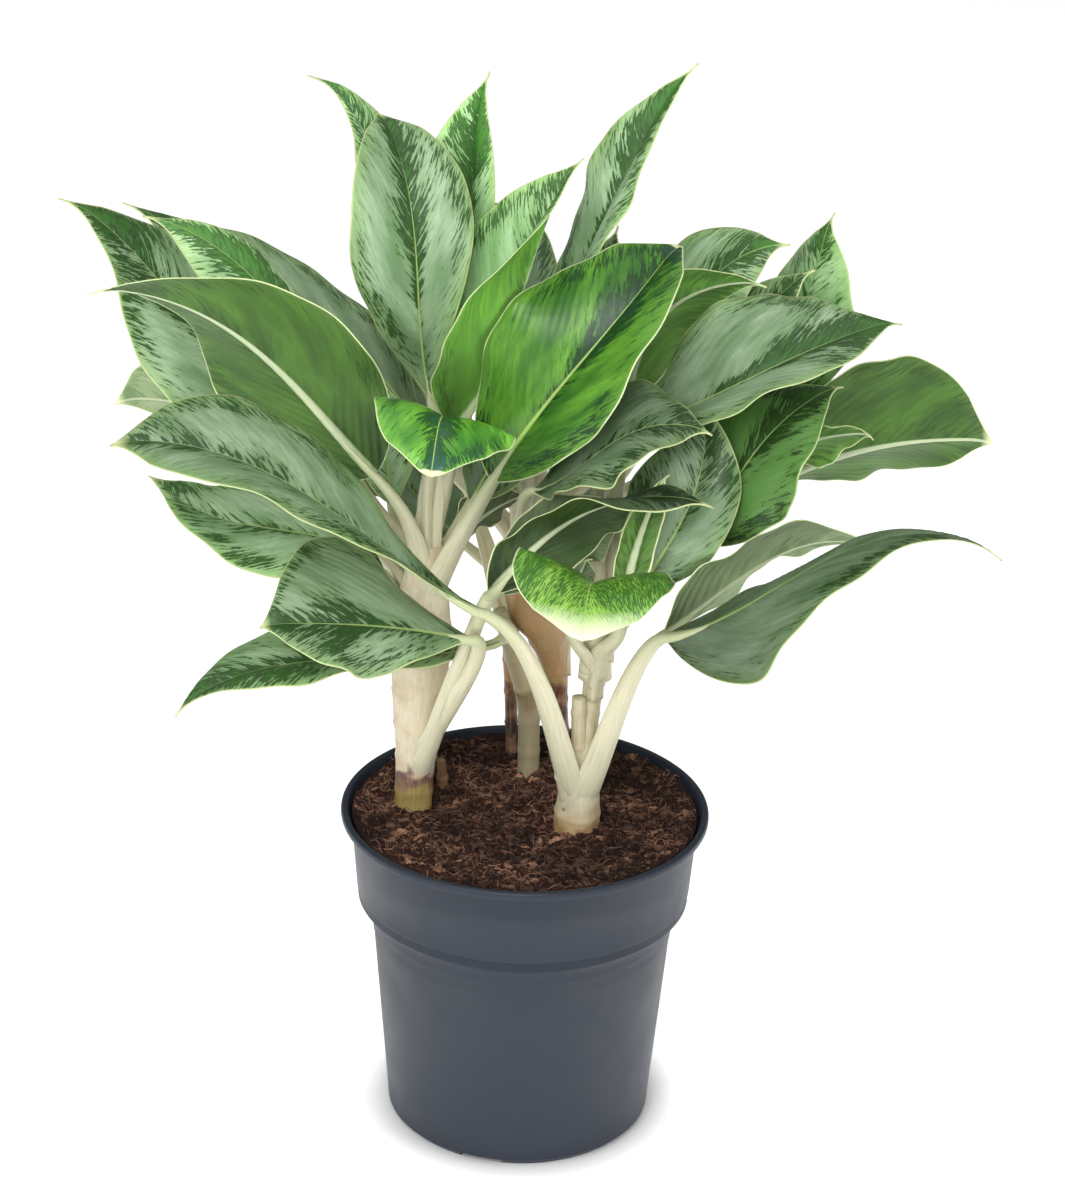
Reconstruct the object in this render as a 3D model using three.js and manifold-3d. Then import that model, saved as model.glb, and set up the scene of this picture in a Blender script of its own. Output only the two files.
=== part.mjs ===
// A potted Chinese evergreen: a nursery pot, its soil, the canes with their leaf stalks, and the blades.
// Millimetres, +Z up. The origin is the centre of the pot's base, and the plant's front faces -Y.
import * as THREE from "three";
import { mergeVertices } from "three/addons/utils/BufferGeometryUtils.js";
import Module from "manifold-3d";

const wasm = await Module();
wasm.setup();

// ---- Driving dimensions ----
const GAP = 0.3; // running clearance between pieces that touch
const ROUND_SIDES = 36; // facets round the pot and the soil

const pot = {
  height: 157.8,
  wall: 1.5,
  floor: 2,
  footRadius: 58.7,
  footRound: [[0.8, 1], [0, 3]], // steps of the round foot: inside the body's radius, above the floor
  innerRound: 3,
  bodyBottomRadius: 61.4,
  bodyTopRadius: 70,
  bodyTopHeight: 104,
  collarBottomHeight: 119,
  collarBottomRadius: 77.4,
  collarTopRadius: 80.2,
  shoulder: [[4.6, 6.5], [1.4, 3]], // steps of the round shoulder: inside the collar, below its edge
  innerShoulder: [1.5, 6],
  lipUnderHeight: 153.4,
  rimRadius: 85,
  lipRound: 1.6,
  mouthRadius: 81.6,
};
const drain = { count: 4, width: 20, height: 4, depth: 10, firstAngle: -106 };
const soil = {
  wallHeight: 148.5,
  crownHeight: 151.5,
  belowLip: 4,
  rings: [0.75, 0.5, 0.25],
  lump: 0.9,
  lumpSpans: [7, 11, 6, 15], // how wide the lumps are, along X and Y for each of two ripples
};
const limbGrid = { caneSides: 10, caneSteps: 7, stalkSides: 5, stalkSteps: 5, samples: 200 };
// A stalk's radii at its foot and its end, the length of its bend's handles there as shares of the distance,
// and how far it leans out at its foot: 0 leaves the cane upright, 1 heads straight for the blade.
const stalk = { radii: [6, 2.4], pull: [0.38, 0.38], lean: 0 };
const blade = {
  thickness: 0.8,
  ribDepth: 1.6,
  cup: 2.4, // how far each half bulges between the rib and the margin
  stalkEnd: 2.4, // least half width at the base and at the tip
  tipEnd: 0.7,
  baseFullness: 0.72, // lower is fuller
  tipDraw: 0.6, // how much the tip is drawn out where a leaf names no other
  ripples: 2.2,
  rippleShift: 0.3, // the left and right margins don't ripple together
  along: 10,
  across: 4,
};

// Each cane is a route of points with its radius at each, from its buried end to its top. Stumps are the
// feet of old stalks and side shoots, which are grown in one with it.
const canes = {
  left: {
    route: [[-51, 8, 117], [-52, 8, 150], [-51, 8, 180], [-50, 8, 210], [-49, 7, 245], [-47, 7, 285]],
    radii: [8, 8.4, 9.2, 12, 13, 7],
    stumps: [],
  },
  left_stub: {
    route: [[-38, 30, 117], [-39, 29, 150], [-40, 28, 166]],
    radii: [3, 2.8, 2],
    stumps: [],
  },
  back: {
    route: [
      [17, 58, 117], [16, 58, 150], [14, 56, 182], [12, 54, 204], [7, 50, 224], [-1, 47, 242], [-3, 45, 290],
    ],
    radii: [5, 5.2, 4.8, 6.4, 9.5, 10.5, 6],
    stumps: [
      {
        route: [[-7, 62, 117], [-7, 62, 151], [-8, 60, 185], [-9, 57, 215], [-6, 52, 240]],
        radii: [2.8, 2.8, 3, 3.4, 4],
      },
    ],
  },
  back_slim: {
    route: [[1, 46, 117], [1, 46, 151], [0, 44, 188], [-7, 40, 215], [-14, 36, 240]],
    radii: [5, 5.2, 5, 4.4, 3],
    stumps: [],
  },
  front: {
    route: [[24, -6, 117], [24, -6, 150], [25, -7, 172], [27, -7, 200], [30, -6, 225], [33, -3, 247]],
    radii: [10.5, 10.8, 9, 5.4, 4.4, 4.2],
    stumps: [
      { route: [[25, -9, 160], [24, -10, 190], [23, -11, 219]], radii: [5, 4, 3.2] },
      { route: [[21, -9, 160], [15, -13, 190], [11, -15, 218]], radii: [4, 3.4, 2.6] },
    ],
  },
};

// Each leaf: the cane it grows on and the height where its stalk leaves it, then the blade's base and
// tip. At one third and two thirds of the way the rib arches above that chord and sways to its left.
// The blade has half widths to left and right and is widest at a share of its length. At its start,
// middle and end it is rolled about the rib (left edge up is positive) and folded (both edges up is
// positive), in degrees. The wave is the margins' ripple. Some stalks have their own lean, radii and pull.
const leaves = [
  { name: "leaf_left_front", cane: "front", joint: 160, lean: 0.75, radii: [6.4, 3.2], pull: [0.4, 0.22],
    base: [-20, -45, 275], tip: [-182, -55, 355],
    arch: [12, 22], sway: [8, 12], wide: [27, 32], widest: 0.68, draw: 0.3,
    roll: [0, -15, -30], fold: [15, 15, 10], wave: 2.5 },
  { name: "leaf_left_high", cane: "left", joint: 250, base: [-70, -12, 325], tip: [-195, -10, 408],
    arch: [18, 25], sway: [12, 15], wide: [36, 36], widest: 0.4,
    roll: [95, 70, 25], fold: [15, 10, 10], wave: 2 },
  { name: "leaf_left_back", cane: "left", joint: 245, base: [-100, 35, 295], tip: [-212, 45, 432],
    arch: [0, 5], sway: [-8, -10], wide: [30, 34], widest: 0.45,
    roll: [-50, -45, -15], fold: [-5, -5, 0], wave: 3 },
  { name: "leaf_left_tip", cane: "left", joint: 255, base: [-80, 25, 310], tip: [-172, 10, 436],
    arch: [15, 20], sway: [4, 4], wide: [22, 15], widest: 0.6,
    roll: [-50, -50, -45], fold: [-10, -10, -10], wave: 1.5 },
  { name: "leaf_left_rear", cane: "back", joint: 250, base: [-55, 78, 313], tip: [-192, 112, 409],
    arch: [10, 5], sway: [-5, -5], wide: [26, 28], widest: 0.45,
    roll: [-25, -20, -10], fold: [-10, -5, 0], wave: 2 },
  { name: "leaf_left_under", cane: "left", joint: 215, base: [-66, 6, 270], tip: [-168, -8, 322],
    arch: [5, -5], sway: [5, 5], wide: [27, 30], widest: 0.52, draw: 0.2,
    roll: [-25, -20, -15], fold: [-15, -5, 5], wave: 2 },
  { name: "leaf_left_low_back", cane: "left", joint: 225, base: [-98, 60, 290], tip: [-198, 105, 312],
    arch: [8, 10], sway: [-5, -5], wide: [32, 30], widest: 0.62, draw: 0.2,
    roll: [60, 60, 60], fold: [0, 10, 15], wave: 2 },
  { name: "leaf_left_low", cane: "front", joint: 162, lean: 0.8, radii: [4, 2.4], pull: [0.3, 0.2],
    base: [-13, -1, 242], tip: [-158, -45, 222],
    arch: [5, 13], sway: [4, 3], wide: [16, 22], widest: 0.62,
    roll: [-10, -10, -10], fold: [5, 5, 10], wave: 2.5 },
  { name: "leaf_left_cup", cane: "left", joint: 172, lean: 0.95, radii: [5, 3], pull: [0.3, 0.15],
    base: [-25, -32, 256], tip: [-116, -70, 278],
    arch: [4, 4], sway: [3, 3], wide: [24, 46], widest: 0.62, draw: 0.3,
    roll: [-40, -40, -35], fold: [-30, -10, 15], wave: 3 },
  { name: "leaf_front_curl", cane: "left", joint: 262, base: [-37, 5, 330], tip: [-43, -78, 354],
    arch: [15, 20], sway: [0, 0], wide: [33, 30], widest: 0.66, draw: -0.25,
    roll: [-15, -15, -10], fold: [0, 0, 0], wave: 2 },
  { name: "leaf_centre_fold", cane: "left", joint: 268, base: [-36, 10, 340], tip: [16, 0, 470],
    arch: [-5, 0], sway: [-5, -5], wide: [38, 38], widest: 0.45,
    roll: [-5, 20, 45], fold: [45, 50, 20], wave: 1.5 },
  { name: "leaf_top_left", cane: "left", joint: 272, base: [-46, 15, 350], tip: [-73, 52, 474],
    arch: [20, 28], sway: [10, 10], wide: [31, 27], widest: 0.6, draw: 0.2,
    roll: [-80, -35, 10], fold: [20, 20, 20], wave: 2 },
  { name: "leaf_top_curl", cane: "back", joint: 262, base: [-58, 50, 370], tip: [-102, 50, 490],
    arch: [5, 12], sway: [-4, -4], wide: [24, 22], widest: 0.5,
    roll: [-30, -20, -10], fold: [0, 0, 20], wave: 1.5 },
  { name: "leaf_top_mid", cane: "back", joint: 268, base: [-30, 46, 372], tip: [-25, 62, 488],
    arch: [0, 0], sway: [2, 4], wide: [26, 18], widest: 0.5,
    roll: [8, 5, 0], fold: [35, 40, 40], wave: 1.5 },
  { name: "leaf_top_right", cane: "back", joint: 264, base: [2, 34, 375], tip: [64, 15, 508],
    arch: [0, 3], sway: [0, 0], wide: [20, 24], widest: 0.45,
    roll: [25, 40, 65], fold: [10, 20, 35], wave: 2 },
  { name: "leaf_centre_big", cane: "left", joint: 250, lean: 0.8, radii: [7, 3.4],
    base: [-18, -14, 325], tip: [60, 4, 432],
    arch: [8, 8], sway: [-14, -18], wide: [40, 31], widest: 0.5, draw: -0.2,
    roll: [50, 40, 20], fold: [12, 15, 18], wave: 3 },
  { name: "leaf_back_mid", cane: "back", joint: 262, base: [10, 62, 335], tip: [35, 80, 412],
    arch: [-3, -3], sway: [3, 3], wide: [16, 16], widest: 0.5,
    roll: [50, 50, 50], fold: [0, 0, 0], wave: 1.5 },
  { name: "leaf_right_round", cane: "back", joint: 256, base: [48, 48, 332], tip: [110, 42, 420],
    arch: [10, 15], sway: [5, 5], wide: [32, 26], widest: 0.55,
    roll: [40, 40, 45], fold: [5, -5, -20], wave: 2 },
  { name: "leaf_right_plain", cane: "front", joint: 236, base: [40, 22, 343], tip: [100, 16, 410],
    arch: [18, 20], sway: [0, 0], wide: [22, 22], widest: 0.5,
    roll: [-60, -60, -60], fold: [0, 0, 0], wave: 2 },
  { name: "leaf_right_nib", cane: "back", joint: 250, base: [75, 40, 335], tip: [120, 30, 412],
    arch: [6, 6], sway: [0, 0], wide: [16, 18], widest: 0.5,
    roll: [55, 55, 55], fold: [-5, -5, -5], wave: 2 },
  { name: "leaf_right_up", cane: "back", joint: 240, base: [97, 66, 316], tip: [129, 56, 429],
    arch: [-3, -3], sway: [3, 3], wide: [26, 26], widest: 0.5,
    roll: [70, 70, 60], fold: [-30, -25, -10], wave: 2 },
  { name: "leaf_right_large", cane: "front", joint: 238, base: [50, 0, 348], tip: [158, -4, 402],
    arch: [5, 8], sway: [-12, -15], wide: [40, 34], widest: 0.5,
    roll: [30, 20, 10], fold: [40, 20, 5], wave: 2.5 },
  { name: "leaf_right_far", cane: "front", joint: 228, base: [102, 24, 308], tip: [208, 45, 327],
    arch: [6, 6], sway: [4, 4], wide: [34, 42], widest: 0.58, draw: 0.15,
    roll: [-65, -70, -85], fold: [20, 25, 30], wave: 3 },
  { name: "leaf_right_low", cane: "front", joint: 224, base: [74, -3, 293], tip: [134, -4, 372],
    arch: [8, 12], sway: [-8, -12], wide: [34, 30], widest: 0.5,
    roll: [50, 40, 25], fold: [-5, -5, -5], wave: 2.5 },
  { name: "leaf_right_slim", cane: "front", joint: 218, base: [98, 9, 322], tip: [150, 4, 345],
    arch: [5, 5], sway: [2, 2], wide: [20, 16], widest: 0.5,
    roll: [-50, -50, -50], fold: [-5, -5, -5], wave: 2 },
  { name: "leaf_right_wave", cane: "back", joint: 244, lean: 0.5, pull: [0.35, 0.1],
    base: [0, -20, 323], tip: [76, -52, 366],
    arch: [5, 12], sway: [-4, -6], wide: [32, 26], widest: 0.55,
    roll: [20, 25, 30], fold: [12, 5, -10], wave: 4 },
  { name: "leaf_right_under", cane: "left", joint: 160, lean: 0.95, radii: [4.8, 3.2], pull: [0.3, 0.06],
    base: [-18, -32, 278], tip: [78, -56, 334],
    arch: [16, 20], sway: [-8, -8], wide: [28, 20], widest: 0.5,
    roll: [-60, -40, 35], fold: [5, -5, -10], wave: 3 },
  { name: "leaf_right_inner", cane: "front", joint: 232, base: [49, -8, 271], tip: [72, 0, 363],
    arch: [0, -4], sway: [-15, -15], wide: [28, 21], widest: 0.5,
    roll: [55, 55, 50], fold: [0, 0, 0], wave: 2 },
  { name: "leaf_right_rib", cane: "front", joint: 230, base: [41, -25, 264], tip: [58, -34, 340],
    arch: [3, 3], sway: [0, 0], wide: [9, 9], widest: 0.5,
    roll: [-50, -50, -50], fold: [0, 0, 0], wave: 1.5 },
  { name: "leaf_front_bright", cane: "front", joint: 226, base: [30, -46, 289], tip: [22, -102, 290],
    arch: [10, 14], sway: [0, 0], wide: [37, 35], widest: 0.62, draw: -0.25,
    roll: [-6, -5, -4], fold: [12, 15, 10], wave: 2 },
  { name: "leaf_low_right", cane: "front", joint: 162, lean: 1, radii: [7.6, 3.4], pull: [0.3, 0.15],
    base: [60, -32, 260], tip: [206, -42, 308],
    arch: [14, 26], sway: [-12, -12], wide: [28, 36], widest: 0.38,
    roll: [45, -5, -10], fold: [-48, -12, 0], wave: 2.5 },
  { name: "leaf_low_right_rolled", cane: "front", joint: 172, lean: 1, radii: [5, 2.6], pull: [0.3, 0.15],
    base: [60, -24, 258], tip: [157, -8, 294],
    arch: [10, 16], sway: [2, 2], wide: [28, 25], widest: 0.45,
    roll: [-50, -45, -35], fold: [15, 12, 5], wave: 2.5 },
  { name: "leaf_inner", cane: "left", joint: 240, base: [-28, 14, 303], tip: [-6, 22, 346],
    arch: [0, 0], sway: [0, 0], wide: [16, 16], widest: 0.5,
    roll: [50, 50, 50], fold: [-10, -10, -10], wave: 2 },
  { name: "leaf_inner_left", cane: "left", joint: 235, base: [-64, 30, 294], tip: [-74, 38, 356],
    arch: [2, 2], sway: [2, 2], wide: [14, 14], widest: 0.5,
    roll: [-40, -40, -40], fold: [10, 10, 10], wave: 1.5 },
  { name: "leaf_mid_under", cane: "back_slim", joint: 222, lean: 0.5, radii: [4, 2.4], pull: [0.3, 0.3],
    base: [-16, -14, 270], tip: [48, -22, 318],
    arch: [6, 8], sway: [-3, -3], wide: [26, 22], widest: 0.5,
    roll: [-65, -65, -60], fold: [5, 5, 5], wave: 2.5 },
  { name: "leaf_mid_dark", cane: "left", joint: 226, lean: 0.4, radii: [4, 2.4], pull: [0.3, 0.3],
    base: [-36, 24, 277], tip: [-3, 30, 301],
    arch: [3, 3], sway: [0, 0], wide: [17, 18], widest: 0.5,
    roll: [-50, -50, -50], fold: [8, 8, 8], wave: 2 },
  { name: "leaf_mid_low", cane: "front", joint: 228, lean: 0.5, radii: [4, 2.4], pull: [0.3, 0.2],
    base: [18, -20, 257], tip: [25, -20, 293],
    arch: [2, 2], sway: [0, 0], wide: [14, 17], widest: 0.5,
    roll: [-45, -45, -45], fold: [0, 0, 0], wave: 1.5 },
  { name: "leaf_rear_left", cane: "back_slim", joint: 222, lean: 0.9, radii: [4, 2.4],
    base: [-38, 88, 296], tip: [-96, 188, 326],
    arch: [20, 22], sway: [5, 6], wide: [32, 31], widest: 0.45,
    roll: [5, 5, 5], fold: [12, 12, 12], wave: 2.5 },
  { name: "leaf_rear_mid", cane: "back", joint: 240, base: [6, 98, 302], tip: [18, 208, 322],
    arch: [22, 24], sway: [-5, -6], wide: [33, 32], widest: 0.45,
    roll: [-5, -5, -5], fold: [10, 10, 10], wave: 2.5 },
  { name: "leaf_rear_right", cane: "back", joint: 236, base: [48, 86, 300], tip: [108, 184, 338],
    arch: [18, 20], sway: [-7, -8], wide: [32, 33], widest: 0.45,
    roll: [-5, -5, -5], fold: [10, 10, 10], wave: 2.5 },
  { name: "leaf_rear_low", cane: "back", joint: 200, base: [20, 98, 246], tip: [54, 190, 222],
    arch: [14, 18], sway: [4, 4], wide: [29, 30], widest: 0.45,
    roll: [5, 5, 5], fold: [8, 8, 8], wave: 2.5 },
  { name: "leaf_rear_high", cane: "back", joint: 266, base: [-14, 82, 338], tip: [-22, 160, 398],
    arch: [12, 16], sway: [4, 4], wide: [28, 30], widest: 0.48,
    roll: [10, 5, 0], fold: [12, 12, 12], wave: 2.5 },
  { name: "leaf_rear_high_right", cane: "back", joint: 252, base: [44, 80, 326], tip: [84, 156, 368],
    arch: [12, 12], sway: [-4, -4], wide: [27, 26], widest: 0.47,
    roll: [-5, -5, -5], fold: [14, 12, 10], wave: 2.5 },
  { name: "leaf_rear_low_left", cane: "back", joint: 215, base: [-34, 88, 252], tip: [-82, 160, 248],
    arch: [12, 16], sway: [4, 4], wide: [26, 27], widest: 0.45,
    roll: [5, 5, 5], fold: [8, 8, 8], wave: 2.5 },
];

const colours = {
  pot: { color: 0x4a505a, roughness: 0.5, metalness: 0 },
  soil: { color: 0x3a2520, roughness: 1, metalness: 0 },
  cane: { color: 0xdad7b8, roughness: 0.55, metalness: 0 },
  greenCane: { color: 0x9a9a68, roughness: 0.6, metalness: 0 },
  leaf: { color: 0x6d9a64, roughness: 0.42, metalness: 0 },
};

// ---- Solids ----
const UP = new THREE.Vector3(0, 0, 1);
const vec = (p) => new THREE.Vector3(...p);
const degrees = (angle) => THREE.MathUtils.degToRad(angle);

// A closed geometry as a solid that can be joined and cut.
function solidOf(geometry) {
  const bare = new THREE.BufferGeometry().setAttribute("position", geometry.getAttribute("position"));
  bare.setIndex(geometry.index);
  const merged = mergeVertices(bare, 1e-3);
  return new wasm.Manifold(new wasm.Mesh({
    numProp: 3,
    vertProperties: merged.attributes.position.array,
    triVerts: new Uint32Array(merged.index.array),
  }));
}

function geometryOf(solid) {
  const { vertProperties, triVerts } = solid.getMesh();
  const geometry = new THREE.BufferGeometry();
  geometry.setAttribute("position", new THREE.BufferAttribute(vertProperties, 3));
  geometry.setIndex(new THREE.BufferAttribute(triVerts, 1));
  geometry.computeVertexNormals();
  return geometry;
}

function meshOf(name, geometry, colour) {
  const mesh = new THREE.Mesh(geometry, new THREE.MeshStandardMaterial(colour));
  mesh.name = name;
  return mesh;
}

// ---- Pot ----
function latheUpright(profile) {
  const points = profile.map(([radius, height]) => new THREE.Vector2(radius, height));
  return new THREE.LatheGeometry(points, ROUND_SIDES).rotateX(Math.PI / 2);
}

// The wall line inside the pot, from the floor's centre out and up to just under the lip.
function potInside(inset) {
  const { wall, floor, bodyBottomRadius, bodyTopRadius, bodyTopHeight, innerRound } = pot;
  const [shoulderIn, shoulderUp] = pot.innerShoulder;
  const shell = wall + inset;
  return [
    [0, floor + inset],
    [bodyBottomRadius - shell - innerRound, floor + inset],
    [bodyBottomRadius - shell, floor + inset + innerRound],
    [bodyTopRadius - shell, bodyTopHeight],
    [pot.collarBottomRadius - shell - shoulderIn, pot.collarBottomHeight],
    [pot.collarBottomRadius - shell, pot.collarBottomHeight + shoulderUp],
    [pot.collarTopRadius - shell, pot.lipUnderHeight - soil.belowLip],
  ];
}

function makePot() {
  const outside = [
    [0, 0],
    [pot.footRadius, 0],
    ...pot.footRound.map(([inside, height]) => [pot.bodyBottomRadius - inside, height]),
    [pot.bodyTopRadius, pot.bodyTopHeight],
    ...pot.shoulder.map(([inside, below]) => [
      pot.collarBottomRadius - inside,
      pot.collarBottomHeight - below,
    ]),
    [pot.collarBottomRadius, pot.collarBottomHeight],
    [pot.collarTopRadius, pot.lipUnderHeight],
    [pot.rimRadius - pot.lipRound, pot.lipUnderHeight],
    [pot.rimRadius, pot.lipUnderHeight + pot.lipRound],
    [pot.rimRadius, pot.height - pot.lipRound],
    [pot.rimRadius - pot.lipRound, pot.height],
    [pot.mouthRadius + pot.lipRound, pot.height],
    [pot.mouthRadius, pot.height - pot.lipRound],
  ];
  const body = solidOf(latheUpright([...outside, ...potInside(0).reverse()]));
  const notches = Array.from({ length: drain.count }, (_, i) => {
    const notch = new THREE.BoxGeometry(drain.depth, drain.width, drain.height * 2);
    notch.translate(pot.bodyBottomRadius, 0, 0);
    notch.rotateZ(degrees(drain.firstAngle + (360 / drain.count) * i));
    return solidOf(notch);
  });
  return notches.reduce((whole, notch) => whole.subtract(notch), body);
}

// ---- Canes and stalks ----
// A tapered round limb along a route of points, closed at both ends.
function limb(points, radii, sides, steps) {
  const curve = new THREE.CatmullRomCurve3(points, false, "centripetal");
  return limbOnCurve(curve, (s) => {
    const place = s * (radii.length - 1);
    const from = Math.min(Math.floor(place), radii.length - 2);
    return THREE.MathUtils.lerp(radii[from], radii[from + 1], place - from);
  }, sides, steps);
}

function limbOnCurve(curve, radiusAt, sides, steps) {
  const geometry = new THREE.CylinderGeometry(1, 1, 1, sides, steps);
  const frames = curve.computeFrenetFrames(steps);
  const position = geometry.getAttribute("position");
  for (let i = 0; i < position.count; i += 1) {
    const s = position.getY(i) + 0.5;
    const ring = Math.round(s * steps);
    const radius = radiusAt(s);
    const spot = curve.getPointAt(s);
    spot.addScaledVector(frames.normals[ring], position.getX(i) * radius);
    spot.addScaledVector(frames.binormals[ring], -position.getZ(i) * radius);
    position.setXYZ(i, spot.x, spot.y, spot.z);
  }
  return geometry;
}

function caneSolid(cane, grow) {
  const limbs = [cane, ...cane.stumps].map(({ route, radii }) => {
    const grown = radii.map((radius) => radius + grow);
    return solidOf(limb(route.map(vec), grown, limbGrid.caneSides, limbGrid.caneSteps));
  });
  return limbs.reduce((whole, one) => whole.add(one));
}

function pointOnCane(cane, height) {
  const curve = new THREE.CatmullRomCurve3(cane.route.map(vec), false, "centripetal");
  const samples = curve.getPoints(limbGrid.samples);
  return samples.reduce((best, p) => (Math.abs(p.z - height) < Math.abs(best.z - height) ? p : best));
}

// ---- Blades ----
// The blade's rib, and the direction to its left, which stays level across the chord.
function ribOf(leaf) {
  const base = vec(leaf.base);
  const tip = vec(leaf.tip);
  const chord = tip.clone().sub(base);
  const left = UP.clone().cross(chord).normalize();
  const lift = chord.clone().cross(left).normalize();
  const offChord = (third) => lift.clone().multiplyScalar(leaf.arch[third])
    .addScaledVector(left, leaf.sway[third]);
  const one = offChord(0).multiplyScalar(3).addScaledVector(offChord(1), -1.5);
  const two = offChord(1).multiplyScalar(3).addScaledVector(offChord(0), -1.5);
  const near = base.clone().addScaledVector(chord, 1 / 3).add(one);
  const far = base.clone().addScaledVector(chord, 2 / 3).add(two);
  return { curve: new THREE.CubicBezierCurve3(base, near, far, tip), left };
}

// A value given at the start, middle and end of a blade, read at s.
function between([start, middle, end], s) {
  return start * (1 - s) * (1 - 2 * s) + middle * 4 * s * (1 - s) + end * s * (2 * s - 1);
}

// Half the blade's width at s, as a share of its widest: round at the base, drawn out at the tip.
function outline({ widest, draw = blade.tipDraw }, s) {
  const power = Math.log(0.5) / Math.log(widest);
  return Math.sin(Math.PI * s ** power) ** (blade.baseFullness + draw * s ** 3);
}

// A point of the blade's middle surface: s runs from base to tip, v from the left edge to the right.
function bladePoint(leaf, rib, s, v, phase) {
  const along = rib.curve.getTangent(s);
  const side = rib.left.clone().addScaledVector(along, -rib.left.dot(along)).normalize();
  const face = along.clone().cross(side);
  const share = outline(leaf, s);
  const least = THREE.MathUtils.lerp(blade.stalkEnd, blade.tipEnd, s);
  const half = Math.max((v < 0 ? leaf.wide[0] : leaf.wide[1]) * share, least);
  const reach = Math.abs(v) * half;
  const roll = degrees(between(leaf.roll, s));
  const rise = degrees(between(leaf.fold, s));
  const bulge = blade.cup * Math.sin(Math.PI * Math.abs(v)) * share;
  const turns = blade.ripples * s + phase + blade.rippleShift * Math.sign(v);
  const ripple = leaf.wave * v * v * share * Math.sin(2 * Math.PI * turns);
  const across = -Math.sign(v) * reach * Math.cos(rise);
  const up = reach * Math.sin(rise) + bulge + ripple;
  const spot = rib.curve.getPoint(s);
  spot.addScaledVector(side, across * Math.cos(roll) - up * Math.sin(roll));
  return spot.addScaledVector(face, across * Math.sin(roll) + up * Math.cos(roll));
}

// The blade as a thin closed sheet: one grid for the upper face, the same grid below it, and a rim.
function bladeGeometry(leaf, order) {
  const rib = ribOf(leaf);
  const phase = (order * 0.37) % 1;
  const grid = new THREE.PlaneGeometry(2, 1, blade.across, blade.along);
  const place = grid.getAttribute("position");
  const start = GAP / rib.curve.getLength();
  for (let i = 0; i < place.count; i += 1) {
    const v = place.getX(i);
    const s = start + (1 - start) * (0.5 - place.getY(i));
    const spot = bladePoint(leaf, rib, s, v, phase);
    place.setXYZ(i, spot.x, spot.y, spot.z);
  }
  grid.computeVertexNormals();
  const normal = grid.getAttribute("normal");
  const columns = blade.across + 1;
  const count = place.count;
  const positions = new Float32Array(count * 6);
  for (let i = 0; i < count; i += 1) {
    const spot = new THREE.Vector3().fromBufferAttribute(place, i);
    const out = new THREE.Vector3().fromBufferAttribute(normal, i);
    const s = Math.floor(i / columns) / blade.along;
    const onRib = i % columns === blade.across / 2;
    const depth = blade.thickness / 2 + (onRib ? blade.ribDepth * (1 - s) : 0);
    spot.clone().addScaledVector(out, blade.thickness / 2).toArray(positions, i * 3);
    spot.addScaledVector(out, -depth).toArray(positions, (count + i) * 3);
  }
  const top = Array.from(grid.index.array);
  const faces = [...top];
  for (let t = 0; t < top.length; t += 3) faces.push(top[t] + count, top[t + 2] + count, top[t + 1] + count);
  const rim = [];
  for (let c = 0; c < blade.across; c += 1) rim.push(c);
  for (let r = 0; r < blade.along; r += 1) rim.push(r * columns + blade.across);
  for (let c = blade.across; c > 0; c -= 1) rim.push(blade.along * columns + c);
  for (let r = blade.along; r > 0; r -= 1) rim.push(r * columns);
  rim.forEach((from, i) => {
    const to = rim[(i + 1) % rim.length];
    faces.push(from, to, to + count, from, to + count, from + count);
  });
  const geometry = new THREE.BufferGeometry();
  geometry.setAttribute("position", new THREE.BufferAttribute(positions, 3));
  geometry.setIndex(faces);
  return geometry;
}

// A stalk leans out from its cane and meets the blade in line with the rib.
function stalkGeometry(leaf) {
  const { radii, pull, lean } = { ...stalk, ...leaf };
  const foot = pointOnCane(canes[leaf.cane], leaf.joint);
  const end = vec(leaf.base);
  const reach = foot.distanceTo(end);
  const outward = UP.clone().lerp(end.clone().sub(foot).normalize(), lean).normalize();
  const leave = foot.clone().addScaledVector(outward, reach * pull[0]);
  const arrive = end.clone().addScaledVector(ribOf(leaf).curve.getTangent(0), -reach * pull[1]);
  const curve = new THREE.CubicBezierCurve3(foot, leave, arrive, end);
  const radiusAt = (s) => THREE.MathUtils.lerp(radii[0], radii[1], s);
  return limbOnCurve(curve, radiusAt, limbGrid.stalkSides, limbGrid.stalkSteps);
}

// ---- Assembly ----
const plant = new THREE.Group();
plant.add(meshOf("pot", geometryOf(makePot()), colours.pot));

// The soil fills the pot to its wall line and lies in low lumps round the canes.
function makeSoil() {
  const wall = potInside(GAP);
  const [edge] = wall.at(-1);
  const crown = soil.rings.map((share) => [
    edge * share,
    THREE.MathUtils.lerp(soil.crownHeight, soil.wallHeight, share ** 2),
  ]);
  const top = [[edge, soil.wallHeight], ...crown, [0, soil.crownHeight]];
  const ball = latheUpright([...wall.slice(0, -1), ...top]);
  const position = ball.getAttribute("position");
  const [spanX, spanY, otherY, otherX] = soil.lumpSpans;
  for (let i = 0; i < position.count; i += 1) {
    const x = position.getX(i);
    const y = position.getY(i);
    const z = position.getZ(i);
    const lump = Math.sin(x / spanX + y / spanY) + Math.sin(y / otherY - x / otherX);
    if (z > soil.wallHeight) position.setZ(i, z + soil.lump * lump);
  }
  return Object.values(canes).reduce((whole, cane) => whole.subtract(caneSolid(cane, GAP)), solidOf(ball));
}

plant.add(meshOf("soil", geometryOf(makeSoil()), colours.soil));

Object.entries(canes).forEach(([name, cane]) => {
  const stalks = leaves.filter((leaf) => leaf.cane === name).map((leaf) => solidOf(stalkGeometry(leaf)));
  const whole = stalks.reduce((joined, one) => joined.add(one), caneSolid(cane, 0));
  const colour = name === "back_slim" ? colours.greenCane : colours.cane;
  plant.add(meshOf(`cane_${name}`, geometryOf(whole), colour));
});

leaves.forEach((leaf, order) => {
  plant.add(meshOf(leaf.name, bladeGeometry(leaf, order), colours.leaf));
});

export default plant;
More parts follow.
